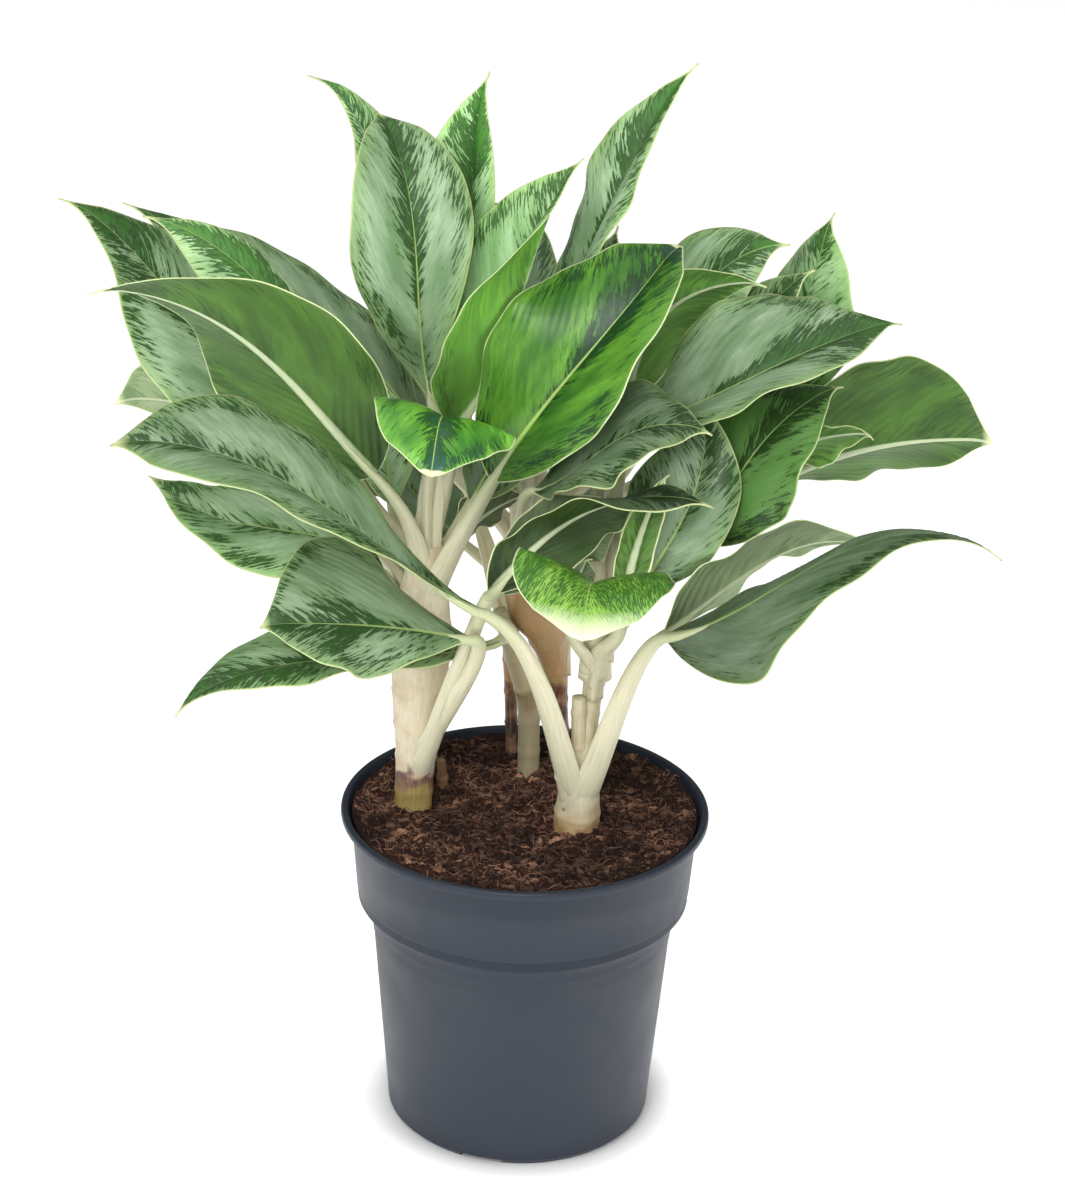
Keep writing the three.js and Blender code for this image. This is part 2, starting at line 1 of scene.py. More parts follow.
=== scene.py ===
import math

import bpy
import numpy as np
from mathutils import Matrix, Vector, noise


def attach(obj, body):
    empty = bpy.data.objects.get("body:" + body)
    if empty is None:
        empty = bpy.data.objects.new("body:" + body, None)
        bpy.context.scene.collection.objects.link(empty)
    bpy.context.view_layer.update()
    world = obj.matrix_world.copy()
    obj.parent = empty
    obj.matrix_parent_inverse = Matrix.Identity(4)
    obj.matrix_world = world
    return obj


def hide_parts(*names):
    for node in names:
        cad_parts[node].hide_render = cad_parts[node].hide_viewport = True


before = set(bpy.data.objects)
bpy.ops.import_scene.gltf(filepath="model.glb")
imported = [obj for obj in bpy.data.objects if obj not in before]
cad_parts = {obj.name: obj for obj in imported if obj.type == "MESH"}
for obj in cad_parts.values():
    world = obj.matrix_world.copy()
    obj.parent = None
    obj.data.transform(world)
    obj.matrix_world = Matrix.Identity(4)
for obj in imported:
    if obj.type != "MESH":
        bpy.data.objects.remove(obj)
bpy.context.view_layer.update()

# ---- Camera ----
# The photograph was taken from in front and above, with a long lens. The place, pitch and roll were
# fitted to the outlines of the pot's rim, collar and foot, with the rim taken as 170 mm across.
camera_place = Vector((0.0009, -1.5, 0.937))
camera_pitch = 0.423  # radians, looking down
camera_roll = 0.027
focal_length_px = 3651
image_height_px = 1200
sensor_mm = 36

ahead = Vector((0, math.cos(camera_pitch), -math.sin(camera_pitch)))
level = Vector((1, 0, 0))
upright = level.cross(ahead)
right = level * math.cos(camera_roll) + upright * math.sin(camera_roll)
up = upright * math.cos(camera_roll) - level * math.sin(camera_roll)


def new_object(name, data):
    made = bpy.data.objects.new(name, data)
    bpy.context.collection.objects.link(made)
    return made


lens = bpy.data.cameras.new("camera")
lens.sensor_width = sensor_mm
lens.lens = focal_length_px * sensor_mm / image_height_px
camera = new_object("camera", lens)
camera.matrix_world = Matrix.Translation(camera_place) @ Matrix((right, up, -ahead)).transposed().to_4x4()
bpy.context.scene.camera = camera
bpy.context.scene.view_settings.view_transform = "Standard"

# ---- Pot ----
# One injection-moulded polypropylene pot with a tapered body, an upright collar that lets the pots stack,
# a rolled lip and four notches in its foot that let water out.
MM = 0.001
pot_height = 157.8 * MM
pot_wall = 1.5 * MM
pot_floor = 2 * MM
foot_radius = 58.7 * MM
foot_round = 3 * MM
body_bottom_radius = 61.4 * MM
body_top_radius = 70 * MM
body_top_height = 104 * MM
collar_bottom_height = 119 * MM
collar_bottom_radius = 77.4 * MM
collar_top_radius = 80.2 * MM
shoulder_round = 2 * MM
lip_under_height = 153.4 * MM
rim_radius = 85 * MM
lip_round = 1.6 * MM
lip_fillet = 0.4 * MM
inner_wall_drop = 4 * MM  # how far under the lip the wall's inside starts
mouth_radius = 81.6 * MM
ring_heights = [101 * MM, 96.5 * MM]  # two faint steps that the mould leaves under the collar
ring_step = 0.35 * MM
notch_count = 4
notch_width = 20 * MM
notch_height = 4 * MM
notch_depth = 5 * MM
notch_first_angle = math.radians(-106)
pot_sides = 288
plastic_grain = 0.8 * MM  # the real mould grain is finer, and drawn coarser so that it shows
plastic_flow = 30 * MM


def linear(hex_colour):
    """An sRGB colour, such as 4A505A, as linear red, green, blue and alpha."""
    shares = [int(hex_colour[place:place + 2], 16) / 255 for place in (0, 2, 4)]
    return [c / 12.92 if c <= 0.04045 else ((c + 0.055) / 1.055) ** 2.4 for c in shares] + [1]


def add(tree, kind, sockets, **settings):
    """Adds a node. Its sockets, by name or number, take a value, or a link from another node's output."""
    made = tree.nodes.new(kind)
    for name, value in settings.items():
        setattr(made, name, value)
    plug(tree, made, sockets)
    return made


def plug(tree, made, sockets):
    for key, value in sockets.items():
        if isinstance(value, bpy.types.NodeSocket):
            tree.links.new(value, made.inputs[key])
        else:
            made.inputs[key].default_value = value


def new_material(name):
    material = bpy.data.materials.new(name)
    material.use_nodes = True
    return material, material.node_tree, material.node_tree.nodes["Principled BSDF"]


def new_piece(name, points, faces, materials, replaced=(), face_materials=None):
    """A smooth mesh that rides on the plant's one body and stands for the CAD nodes named."""
    mesh = bpy.data.meshes.new(name)
    mesh.from_pydata(np.asarray(points).tolist(), [], faces)
    for material in materials:
        mesh.materials.append(material)
    if face_materials is not None:
        mesh.polygons.foreach_set("material_index", face_materials)
    mesh.shade_smooth()
    piece = new_object(name, mesh)
    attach(piece, "root")
    if replaced:
        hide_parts(*replaced)
    return piece


def tube_faces(rings, sides):
    """The faces of rings joined in a row and closed to the two points that follow them, first and last."""
    faces = []
    for side in range(sides):
        beside = (side + 1) % sides
        faces.append((rings * sides, beside, side))
        for low in range(0, (rings - 1) * sides, sides):
            faces.append((low + side, low + beside, low + sides + beside, low + sides + side))
        faces.append(((rings - 1) * sides + side, (rings - 1) * sides + beside, rings * sides + 1))
    return faces


def lathe(profile, sides):
    """Turns a profile of radius and height about Z. It starts and ends on the axis."""
    turns = np.arange(sides) * 2 * math.pi / sides
    inner = np.array(profile[1:-1])
    rings = np.stack([
        inner[:, :1] * np.cos(turns),
        inner[:, :1] * np.sin(turns),
        np.repeat(inner[:, 1:], sides, axis=1),
    ], axis=-1)
    points = np.vstack([rings.reshape(-1, 3), [0, 0, profile[0][1]], [0, 0, profile[-1][1]]])
    return points, tube_faces(len(inner), sides)


def bend(centre_radius, centre_height, size, start, end, steps=6):
    """A round corner of a profile, from one angle to another in degrees."""
    angles = [math.radians(start + (end - start) * step / steps) for step in range(steps + 1)]
    return [(centre_radius + size * math.cos(a), centre_height + size * math.sin(a)) for a in angles]


def pot_inside(inset, top_height):
    """The wall line inside the pot, from the floor's centre out and up."""
    shell = pot_wall + inset
    return [
        (0, pot_floor + inset),
        *bend(body_bottom_radius - shell - foot_round, pot_floor + inset + foot_round, foot_round, -90, 0),
        (body_top_radius - shell, body_top_height),
        (collar_bottom_radius - shell - shoulder_round, collar_bottom_height),
        (collar_bottom_radius - shell, collar_bottom_height + 3 * shoulder_round),
        (collar_top_radius - shell, top_height),
    ]


def body_radius(height):
    return body_bottom_radius + (body_top_radius - body_bottom_radius) * height / body_top_height


shoulder_start = collar_bottom_height - 4 * shoulder_round
pot_profile = [
    (0, 0),
    *bend(foot_radius - lip_round, lip_round, lip_round, -90, -20),
    *bend(body_radius(foot_round) - lip_round, foot_round + lip_round, lip_round, -40, 0),
]
for ring_height in reversed(ring_heights):
    pot_profile += [
        (body_radius(ring_height), ring_height - ring_step),
        (body_radius(ring_height) + ring_step, ring_height),
    ]
pot_profile += [
    (body_top_radius + ring_step, body_top_height),
    *bend(body_top_radius + 5 * shoulder_round, shoulder_start - 3 * shoulder_round, 4.6 * shoulder_round,
          165, 110),
    *bend(collar_bottom_radius - shoulder_round, collar_bottom_height, shoulder_round, -70, 0),
    (collar_top_radius, lip_under_height - lip_fillet),
    *bend(rim_radius - lip_round, lip_under_height + lip_round, lip_round, -90, 0),
    *bend(rim_radius - lip_round, pot_height - lip_round, lip_round, 0, 90),
    *bend(mouth_radius + lip_round, pot_height - lip_round, lip_round, 90, 180),
    *reversed(pot_inside(0, lip_under_height - inner_wall_drop)),
]

# Moulded polypropylene: an even slate grey with a soft sheen, a faint grain and a little pale dust.
pot_plastic, tree, shader = new_material("polypropylene_moulded_slate")
place = add(tree, "ShaderNodeTexCoord", {}).outputs["Object"]
flow = add(tree, "ShaderNodeTexNoise", {"Vector": place, "Scale": 1 / plastic_flow, "Detail": 3})
grain = add(tree, "ShaderNodeTexNoise", {"Vector": place, "Scale": 1 / plastic_grain, "Detail": 2})
dust = add(tree, "ShaderNodeMapRange", {"Value": grain.outputs["Fac"], 1: 0.62, 2: 0.75, 3: 0, 4: 0.25})
slate = add(tree, "ShaderNodeMix", {0: flow.outputs["Fac"], 6: linear("252B36"), 7: linear("2B323E")},
            data_type="RGBA")
dusty = add(tree, "ShaderNodeMix", {0: dust.outputs[0], 6: slate.outputs[2], 7: linear("3F4652")},
            data_type="RGBA")
polish = add(tree, "ShaderNodeMapRange", {"Value": flow.outputs["Fac"], 1: 0.3, 2: 0.7, 3: 0.38, 4: 0.5})
relief = add(tree, "ShaderNodeBump",
             {"Height": grain.outputs["Fac"], "Strength": 0.25, "Distance": 0.05 * MM})
plug(tree, shader, {
    "Base Color": dusty.outputs[2],
    "Roughness": polish.outputs[0],
    "Normal": relief.outputs[0],
    "IOR": 1.49,
    "Specular IOR Level": 0.3,
})

pot_points, pot_faces = lathe(pot_profile, pot_sides)
for point in pot_points:
    turned = (math.atan2(point[1], point[0]) - notch_first_angle) % (2 * math.pi / notch_count)
    aside = min(turned, 2 * math.pi / notch_count - turned) * body_bottom_radius
    outer = math.hypot(point[0], point[1]) > body_bottom_radius - notch_depth
    if outer and aside < notch_width / 2 and point[2] < notch_height:
        point[2] = notch_height
new_piece("nursery_pot", pot_points, pot_faces, [pot_plastic], ["pot"])

# ---- Soil ----
# The pot is full of peat with bark in it, which has settled a little round the canes and reaches the lip at
# the wall. Its surface is loose fibres and chips that lie in all directions, with a few paler bits.
soil_edge_height = 155 * MM
soil_middle_height = 151 * MM
soil_gap = 0.3 * MM
soil_wall_drop = 4.4 * MM  # how far under the lip the soil leaves the wall
soil_edge_radius = 79.8 * MM
soil_rings = 84
soil_sides = 260
lump_size = 9 * MM
lump_height = 1.9 * MM
crumb_size = 3.2 * MM
crumb_height = 2 * MM
clod_size = 7 * MM
peat_grain = 1.4 * MM
wet_patch = 24 * MM
strand_steps = 5
strand_lift = 0.1 * MM
strand_margin = 2 * MM  # from the soil's edge
strand_curl = 0.2  # how far a strand turns at each of its steps, in radians
strand_tones = 0.28  # how widely the strands of a batch differ in tone
chip_tones = 0.3
chip_breadth = (0.3, 0.6)  # shares of a chip's length
chip_thickness = (0.08, 0.2)
chip_corners = (0.6, 1.15)  # how far a chip's corners stand in or out
chip_lift = 0.4 * MM
chip_margin = 4 * MM
chip_tilt = 0.35  # radians
soil_dents = [(9 * MM, -13 * MM, 5.5 * MM, 5 * MM), (-36 * MM, 14 * MM, 6 * MM, 3 * MM)]


def soil_height(x, y):
    """The height of the soil's surface: a shallow dish, lumps, crumbs and a few dents."""
    share = min(math.hypot(x, y) / soil_edge_radius, 1)
    height = soil_middle_height + (soil_edge_height - soil_middle_height) * share ** 2
    height += lump_height * noise.noise(Vector((x, y, 0)) / lump_size)
    height += crumb_height * noise.noise(Vector((x, y, 1)) / crumb_size)
    for dent_x, dent_y, size, depth in soil_dents:
        height -= depth * math.exp(-((x - dent_x) ** 2 + (y - dent_y) ** 2) / size ** 2)
    return height


soil_top = [(soil_edge_radius * (1 - ring / soil_rings), soil_edge_height) for ring in range(soil_rings + 1)]
soil_profile = [*pot_inside(soil_gap, lip_under_height - soil_wall_drop), *soil_top]
soil_points, soil_faces = lathe(soil_profile, soil_sides)
for point in soil_points:
    if point[2] >= soil_edge_height:
        point[2] = soil_height(point[0], point[1])

# Damp peat: quite dull, nearly black where it is soaked and reddish brown elsewhere, with paler dry bits.
peat, tree, shader = new_material("peat_and_bark_damp")
place = add(tree, "ShaderNodeTexCoord", {}).outputs["Object"]
clods = add(tree, "ShaderNodeTexNoise", {"Vector": place, "Scale": 1 / clod_size, "Detail": 5})
crumbs = add(tree, "ShaderNodeTexNoise", {"Vector": place, "Scale": 1 / peat_grain, "Detail": 4})
tone = add(tree, "ShaderNodeAttribute", {}, attribute_name="tone")
# These damp colours also serve as painted shade on the soil under the loose fibres and chips.
damp_and_shaded = add(tree, "ShaderNodeMix", {0: clods.outputs["Fac"], 6: linear("0E0808"), 7: linear("4A2D25")},
           data_type="RGBA")
dry = add(tree, "ShaderNodeMix", {0: crumbs.outputs["Fac"], 6: linear("6A4232"), 7: linear("D2A386")},
          data_type="RGBA")
earth = add(tree, "ShaderNodeMix", {0: tone.outputs["Fac"], 6: damp_and_shaded.outputs[2], 7: dry.outputs[2]},
            data_type="RGBA")
wet = add(tree, "ShaderNodeTexNoise", {"Vector": place, "Scale": 1 / wet_patch, "Detail": 4})
soaked = add(tree, "ShaderNodeMapRange", {"Value": wet.outputs["Fac"], 1: 0.4, 2: 0.58, 3: 0, 4: 0.7})
earth = add(tree, "ShaderNodeMix", {0: soaked.outputs[0], 6: earth.outputs[2], 7: linear("180D0B")},
            data_type="RGBA")
relief = add(tree, "ShaderNodeBump",
             {"Height": crumbs.outputs["Fac"], "Strength": 0.8, "Distance": 0.6 * MM})
plug(tree, shader, {
    "Base Color": earth.outputs[2],
    "Roughness": 0.95,
    "Normal": relief.outputs[0],
    "Specular IOR Level": 0.25,
})


def give(piece, name, values):
    """Stores a number or a vector for each vertex of a piece, for its material to read."""
    values = np.asarray(values, dtype=np.float32)
    kind, field = ("FLOAT", "value") if values.ndim == 1 else ("FLOAT_VECTOR", "vector")
    layer = piece.data.attributes.new(name, kind, "POINT")
    layer.data.foreach_set(field, values.ravel())


soil = new_piece("peat_ball", soil_points, soil_faces, [peat], ["soil"])
# The soil under the loose bits takes the darkest, damp end of the peat's colours: damp peat, and also painted
# shade in the gaps between the bits lying on it.
give(soil, "tone", np.zeros(len(soil_points)))

draw = np.random.default_rng(17)


def soil_spot(margin):
    """A place drawn evenly over the soil, no nearer to its wall than the margin."""
    radius = (soil_edge_radius - margin) * math.sqrt(draw.random())
    turn = draw.uniform(0, 2 * math.pi)
    return radius * math.cos(turn), radius * math.sin(turn)


def strands(count, length, width, lift, tone):
    """Loose three-sided strands of peat that lie curved on the soil; returns points, faces and tones."""
    points = []
    faces = []
    tones = []
    for _ in range(count):
        x, y = soil_spot(strand_margin)
        heading = draw.uniform(0, 2 * math.pi)
        curl = draw.normal(0, strand_curl)
        size = draw.uniform(*length)
        thick = draw.uniform(*width)
        rise = draw.uniform(*lift)
        first = len(points)
        for step in range(strand_steps):
            share = step / (strand_steps - 1)
            taper = thick * (0.35 + 0.65 * math.sin(math.pi * (0.15 + 0.7 * share)))
            limit = (soil_edge_radius - MM) / max(math.hypot(x, y), MM)
            x *= min(limit, 1)
            y *= min(limit, 1)
            height = soil_height(x, y) + rise * math.sin(math.pi * (0.1 + 0.8 * share)) + strand_lift
            side = Vector((-math.sin(heading), math.cos(heading), 0)) * taper
            centre = Vector((x, y, height))
            points += [centre - side, centre + side, centre + Vector((0, 0, taper * 1.2))]
            x += size / strand_steps * math.cos(heading)
            y += size / strand_steps * math.sin(heading)
            heading += curl
        shade = min(max(draw.normal(tone, strand_tones), 0), 1)
        tones += [shade] * (3 * strand_steps)
        for low in range(first, first + 3 * (strand_steps - 1), 3):
            faces += [(low + a, low + b, low + b + 3, low + a + 3) for a, b in ((0, 1), (1, 2), (2, 0))]
        faces += [(first + 2, first + 1, first), tuple(range(len(points) - 3, len(points)))]
    return points, faces, tones


def chips(count, size, tone):
    """Flat splinters of bark, each a bent slab of eight corners at its own tilt."""
    corners = [(x, y, z) for z in (-1, 1) for x, y in ((-1, -1), (1, -1), (1, 1), (-1, 1))]
    walls = [(3, 2, 1, 0), (4, 5, 6, 7), (0, 1, 5, 4), (1, 2, 6, 5), (2, 3, 7, 6), (3, 0, 4, 7)]
    points = []
    faces = []
    tones = []
    for _ in range(count):
        x, y = soil_spot(chip_margin)
        long = draw.uniform(*size)
        extent = np.array([long, long * draw.uniform(*chip_breadth), long * draw.uniform(*chip_thickness)])
        spin = Matrix.Rotation(draw.uniform(0, 2 * math.pi), 3, "Z")
        spin = spin @ Matrix.Rotation(draw.normal(0, chip_tilt), 3, "X")
        centre = Vector((x, y, soil_height(x, y) + chip_lift))
        first = len(points)
        for corner in corners:
            points.append(centre + spin @ Vector(np.array(corner) * extent * draw.uniform(*chip_corners, 3)))
        faces += [tuple(first + place for place in wall) for wall in walls]
        tones += [min(max(draw.normal(tone, chip_tones), 0), 1)] * len(corners)
    return points, faces, tones


def join(parts):
    """One mesh of several: their points, faces and whatever else they hold for each point, in a row."""
    starts = np.cumsum([0] + [len(part[0]) for part in parts])
    faces = [tuple(int(start) + place for place in face)
             for start, part in zip(starts, parts) for face in part[1]]
    points, _, *values = zip(*parts)
    return np.vstack(points), faces, *[np.concatenate(value) for value in values]


def scatter(name, batches):
    """Joins batches of strands or chips into one piece on the soil."""
    points, faces, tones = join(batches)
    piece = new_piece(name, points, faces, [peat])
    piece.data.shade_flat()
    give(piece, "tone", tones)


scatter("peat_fibres", [
    strands(4200, (2.5 * MM, 7.5 * MM), (0.14 * MM, 0.42 * MM), (0, 1.5 * MM), 0.22),
    strands(350, (7 * MM, 16 * MM), (0.12 * MM, 0.24 * MM), (0.5 * MM, 4 * MM), 0.6),
])
scatter("bark_chips", [chips(2600, (0.8 * MM, 2.8 * MM), 0.15), chips(170, (1.2 * MM, 3.4 * MM), 0.85)])

# ---- Leaf plan ----
# Where each leaf grows, in millimetres and degrees, as in the construction. Its stalk leaves the cane at
# the joint's height. The rib arches over its chord and sways to its left at one and two thirds of its way,
# and the blade rolls and folds at its start, middle and end. One number stands for all places alike.
usual_leaf = dict(radii=(6, 2.4), pull=(0.38, 0.38), lean=0, widest=0.5, draw=0.6, sway=0, fold=0, wave=2)
leaves = [usual_leaf | leaf for leaf in [
    dict(name="left_front", cane="front", joint=160, lean=0.75, radii=(6.4, 3.2), pull=(0.4, 0.22),
         base=(-20, -45, 275), tip=(-182, -55, 355), arch=(12, 22), sway=(8, 12), wide=(27, 32),
         widest=0.68, draw=0.3, roll=(0, -15, -30), fold=(15, 15, 10), wave=2.5),
    dict(name="left_high", cane="left", joint=250, base=(-70, -12, 325), tip=(-195, -10, 408),
         arch=(18, 25), sway=(12, 15), wide=36, widest=0.4, roll=(95, 70, 25), fold=(15, 10, 10)),
    dict(name="left_back", cane="left", joint=245, base=(-100, 35, 295), tip=(-212, 45, 432), arch=(0, 5),
         sway=(-8, -10), wide=(30, 34), widest=0.45, roll=(-50, -45, -15), fold=(-5, -5, 0), wave=3),
    dict(name="left_tip", cane="left", joint=255, base=(-80, 25, 310), tip=(-172, 10, 436), arch=(15, 20),
         sway=4, wide=(22, 15), widest=0.6, roll=(-50, -50, -45), fold=-10, wave=1.5),
    dict(name="left_rear", cane="back", joint=250, base=(-55, 78, 313), tip=(-192, 112, 409), arch=(10, 5),
         sway=-5, wide=(26, 28), widest=0.45, roll=(-25, -20, -10), fold=(-10, -5, 0)),
    dict(name="left_under", cane="left", joint=215, base=(-66, 6, 270), tip=(-168, -8, 322), arch=(5, -5),
         sway=5, wide=(27, 30), widest=0.52, draw=0.2, roll=(-25, -20, -15), fold=(-15, -5, 5)),
    dict(name="left_low_back", cane="left", joint=225, base=(-98, 60, 290), tip=(-198, 105, 312),
         arch=(8, 10), sway=-5, wide=(32, 30), widest=0.62, draw=0.2, roll=60, fold=(0, 10, 15)),
    dict(name="left_low", cane="front", joint=162, lean=0.8, radii=(4, 2.4), pull=(0.3, 0.2),
         base=(-13, -1, 242), tip=(-158, -45, 222), arch=(5, 13), sway=(4, 3), wide=(16, 22), widest=0.62,
         roll=-10, fold=(5, 5, 10), wave=2.5),
    dict(name="left_cup", cane="left", joint=172, lean=0.95, radii=(5, 3), pull=(0.3, 0.15),
         base=(-25, -32, 256), tip=(-116, -70, 278), arch=4, sway=3, wide=(24, 46), widest=0.62, draw=0.3,
         roll=(-40, -40, -35), fold=(-30, -10, 15), wave=3),
    dict(name="front_curl", cane="left", joint=262, base=(-37, 5, 330), tip=(-43, -78, 354), arch=(15, 20),
         wide=(33, 30), widest=0.66, draw=-0.25, roll=(-15, -15, -10)),
    dict(name="centre_fold", cane="left", joint=268, base=(-36, 10, 340), tip=(16, 0, 470), arch=(-5, 0),
         sway=-5, wide=38, widest=0.45, roll=(-5, 20, 45), fold=(45, 50, 20), wave=1.5),
    dict(name="top_left", cane="left", joint=272, base=(-46, 15, 350), tip=(-73, 52, 474), arch=(20, 28),
         sway=10, wide=(31, 27), widest=0.6, draw=0.2, roll=(-80, -35, 10), fold=20),
    dict(name="top_curl", cane="back", joint=262, base=(-58, 50, 370), tip=(-102, 50, 490), arch=(5, 12),
         sway=-4, wide=(24, 22), roll=(-30, -20, -10), fold=(0, 0, 20), wave=1.5),
    dict(name="top_mid", cane="back", joint=268, base=(-30, 46, 372), tip=(-25, 62, 488), arch=0,
         sway=(2, 4), wide=(26, 18), roll=(8, 5, 0), fold=(35, 40, 40), wave=1.5),
    dict(name="top_right", cane="back", joint=264, base=(2, 34, 375), tip=(64, 15, 508), arch=(0, 3),
         wide=(20, 24), widest=0.45, roll=(25, 40, 65), fold=(10, 20, 35)),
    dict(name="centre_big", cane="left", joint=250, lean=0.8, radii=(7, 3.4), base=(-18, -14, 325),
         tip=(60, 4, 432), arch=8, sway=(-14, -18), wide=(40, 31), draw=-0.2, roll=(50, 40, 20),
         fold=(12, 15, 18), wave=3),
    dict(name="back_mid", cane="back", joint=262, base=(10, 62, 335), tip=(35, 80, 412), arch=-3, sway=3,
         wide=16, roll=50, wave=1.5),
    dict(name="right_round", cane="back", joint=256, base=(48, 48, 332), tip=(110, 42, 420), arch=(10, 15),
         sway=5, wide=(32, 26), widest=0.55, roll=(40, 40, 45), fold=(5, -5, -20)),
    dict(name="right_plain", cane="front", joint=236, base=(40, 22, 343), tip=(100, 16, 410), arch=(18, 20),
         wide=22, roll=-60),
    dict(name="right_nib", cane="back", joint=250, base=(75, 40, 335), tip=(120, 30, 412), arch=6,
         wide=(16, 18), roll=55, fold=-5),
    dict(name="right_up", cane="back", joint=240, base=(97, 66, 316), tip=(129, 56, 429), arch=-3, sway=3,
         wide=26, roll=(70, 70, 60), fold=(-30, -25, -10)),
    dict(name="right_large", cane="front", joint=238, base=(50, 0, 348), tip=(158, -4, 402), arch=(5, 8),
         sway=(-12, -15), wide=(40, 34), roll=(30, 20, 10), fold=(40, 20, 5), wave=2.5),
    dict(name="right_far", cane="front", joint=228, base=(102, 24, 308), tip=(208, 45, 327), arch=6, sway=4,
         wide=(34, 42), widest=0.58, draw=0.15, roll=(-65, -70, -85), fold=(20, 25, 30), wave=3),
    dict(name="right_low", cane="front", joint=224, base=(74, -3, 293), tip=(134, -4, 372), arch=(8, 12),
         sway=(-8, -12), wide=(34, 30), roll=(50, 40, 25), fold=-5, wave=2.5),
    dict(name="right_slim", cane="front", joint=218, base=(98, 9, 322), tip=(150, 4, 345), arch=5, sway=2,
         wide=(20, 16), roll=-50, fold=-5),
    dict(name="right_wave", cane="back", joint=244, lean=0.5, pull=(0.35, 0.1), base=(0, -20, 323),
         tip=(76, -52, 366), arch=(5, 12), sway=(-4, -6), wide=(32, 26), widest=0.55, roll=(20, 25, 30),
         fold=(12, 5, -10), wave=4),
    dict(name="right_under", cane="left", joint=160, lean=0.95, radii=(4.8, 3.2), pull=(0.3, 0.06),
         base=(-18, -32, 278), tip=(78, -56, 334), arch=(16, 20), sway=-8, wide=(28, 20),
         roll=(-60, -40, 35), fold=(5, -5, -10), wave=3),
    dict(name="right_inner", cane="front", joint=232, base=(49, -8, 271), tip=(72, 0, 363), arch=(0, -4),
         sway=-15, wide=(28, 21), roll=(55, 55, 50)),
    dict(name="right_rib", cane="front", joint=230, base=(41, -25, 264), tip=(58, -34, 340), arch=3, wide=9,
         roll=-50, wave=1.5),
    dict(name="front_bright", cane="front", joint=226, base=(30, -46, 289), tip=(22, -102, 290),
         arch=(10, 14), wide=(37, 35), widest=0.62, draw=-0.25, roll=(-6, -5, -4), fold=(12, 15, 10)),
    dict(name="low_right", cane="front", joint=162, lean=1, radii=(7.6, 3.4), pull=(0.3, 0.15),
         base=(60, -32, 260), tip=(206, -42, 308), arch=(14, 26), sway=-12, wide=(28, 36), widest=0.38,
         roll=(45, -5, -10), fold=(-48, -12, 0), wave=2.5),
    dict(name="low_right_rolled", cane="front", joint=172, lean=1, radii=(5, 2.6), pull=(0.3, 0.15),
         base=(60, -24, 258), tip=(157, -8, 294), arch=(10, 16), sway=2, wide=(28, 25), widest=0.45,
         roll=(-50, -45, -35), fold=(15, 12, 5), wave=2.5),
    dict(name="inner", cane="left", joint=240, base=(-28, 14, 303), tip=(-6, 22, 346), arch=0, wide=16,
         roll=50, fold=-10),
    dict(name="inner_left", cane="left", joint=235, base=(-64, 30, 294), tip=(-74, 38, 356), arch=2, sway=2,
         wide=14, roll=-40, fold=10, wave=1.5),
    dict(name="mid_under", cane="back_slim", joint=222, lean=0.5, radii=(4, 2.4), pull=(0.3, 0.3),
         base=(-16, -14, 270), tip=(48, -22, 318), arch=(6, 8), sway=-3, wide=(26, 22),
         roll=(-65, -65, -60), fold=5, wave=2.5),
    dict(name="mid_dark", cane="left", joint=226, lean=0.4, radii=(4, 2.4), pull=(0.3, 0.3),
         base=(-36, 24, 277), tip=(-3, 30, 301), arch=3, wide=(17, 18), roll=-50, fold=8),
    dict(name="mid_low", cane="front", joint=228, lean=0.5, radii=(4, 2.4), pull=(0.3, 0.2),
         base=(18, -20, 257), tip=(25, -20, 293), arch=2, wide=(14, 17), roll=-45, wave=1.5),
    dict(name="rear_left", cane="back_slim", joint=222, lean=0.9, radii=(4, 2.4), base=(-38, 88, 296),
         tip=(-96, 188, 326), arch=(20, 22), sway=(5, 6), wide=(32, 31), widest=0.45, roll=5, fold=12,
         wave=2.5),
    dict(name="rear_mid", cane="back", joint=240, base=(6, 98, 302), tip=(18, 208, 322), arch=(22, 24),
         sway=(-5, -6), wide=(33, 32), widest=0.45, roll=-5, fold=10, wave=2.5),
    dict(name="rear_right", cane="back", joint=236, base=(48, 86, 300), tip=(108, 184, 338), arch=(18, 20),
         sway=(-7, -8), wide=(32, 33), widest=0.45, roll=-5, fold=10, wave=2.5),
    dict(name="rear_low", cane="back", joint=200, base=(20, 98, 246), tip=(54, 190, 222), arch=(14, 18),
         sway=4, wide=(29, 30), widest=0.45, roll=5, fold=8, wave=2.5),
    dict(name="rear_high", cane="back", joint=266, base=(-14, 82, 338), tip=(-22, 160, 398), arch=(12, 16),
         sway=4, wide=(28, 30), widest=0.48, roll=(10, 5, 0), fold=12, wave=2.5),
    dict(name="rear_high_right", cane="back", joint=252, base=(44, 80, 326), tip=(84, 156, 368), arch=12,
         sway=-4, wide=(27, 26), widest=0.47, roll=-5, fold=(14, 12, 10), wave=2.5),
    dict(name="rear_low_left", cane="back", joint=215, base=(-34, 88, 252), tip=(-82, 160, 248),
         arch=(12, 16), sway=4, wide=(26, 27), widest=0.45, roll=5, fold=8, wave=2.5),
]]
for leaf in leaves:
    for key, count in (("arch", 2), ("sway", 2), ("wide", 2), ("roll", 3), ("fold", 3)):
        leaf[key] = np.broadcast_to(leaf[key], count)

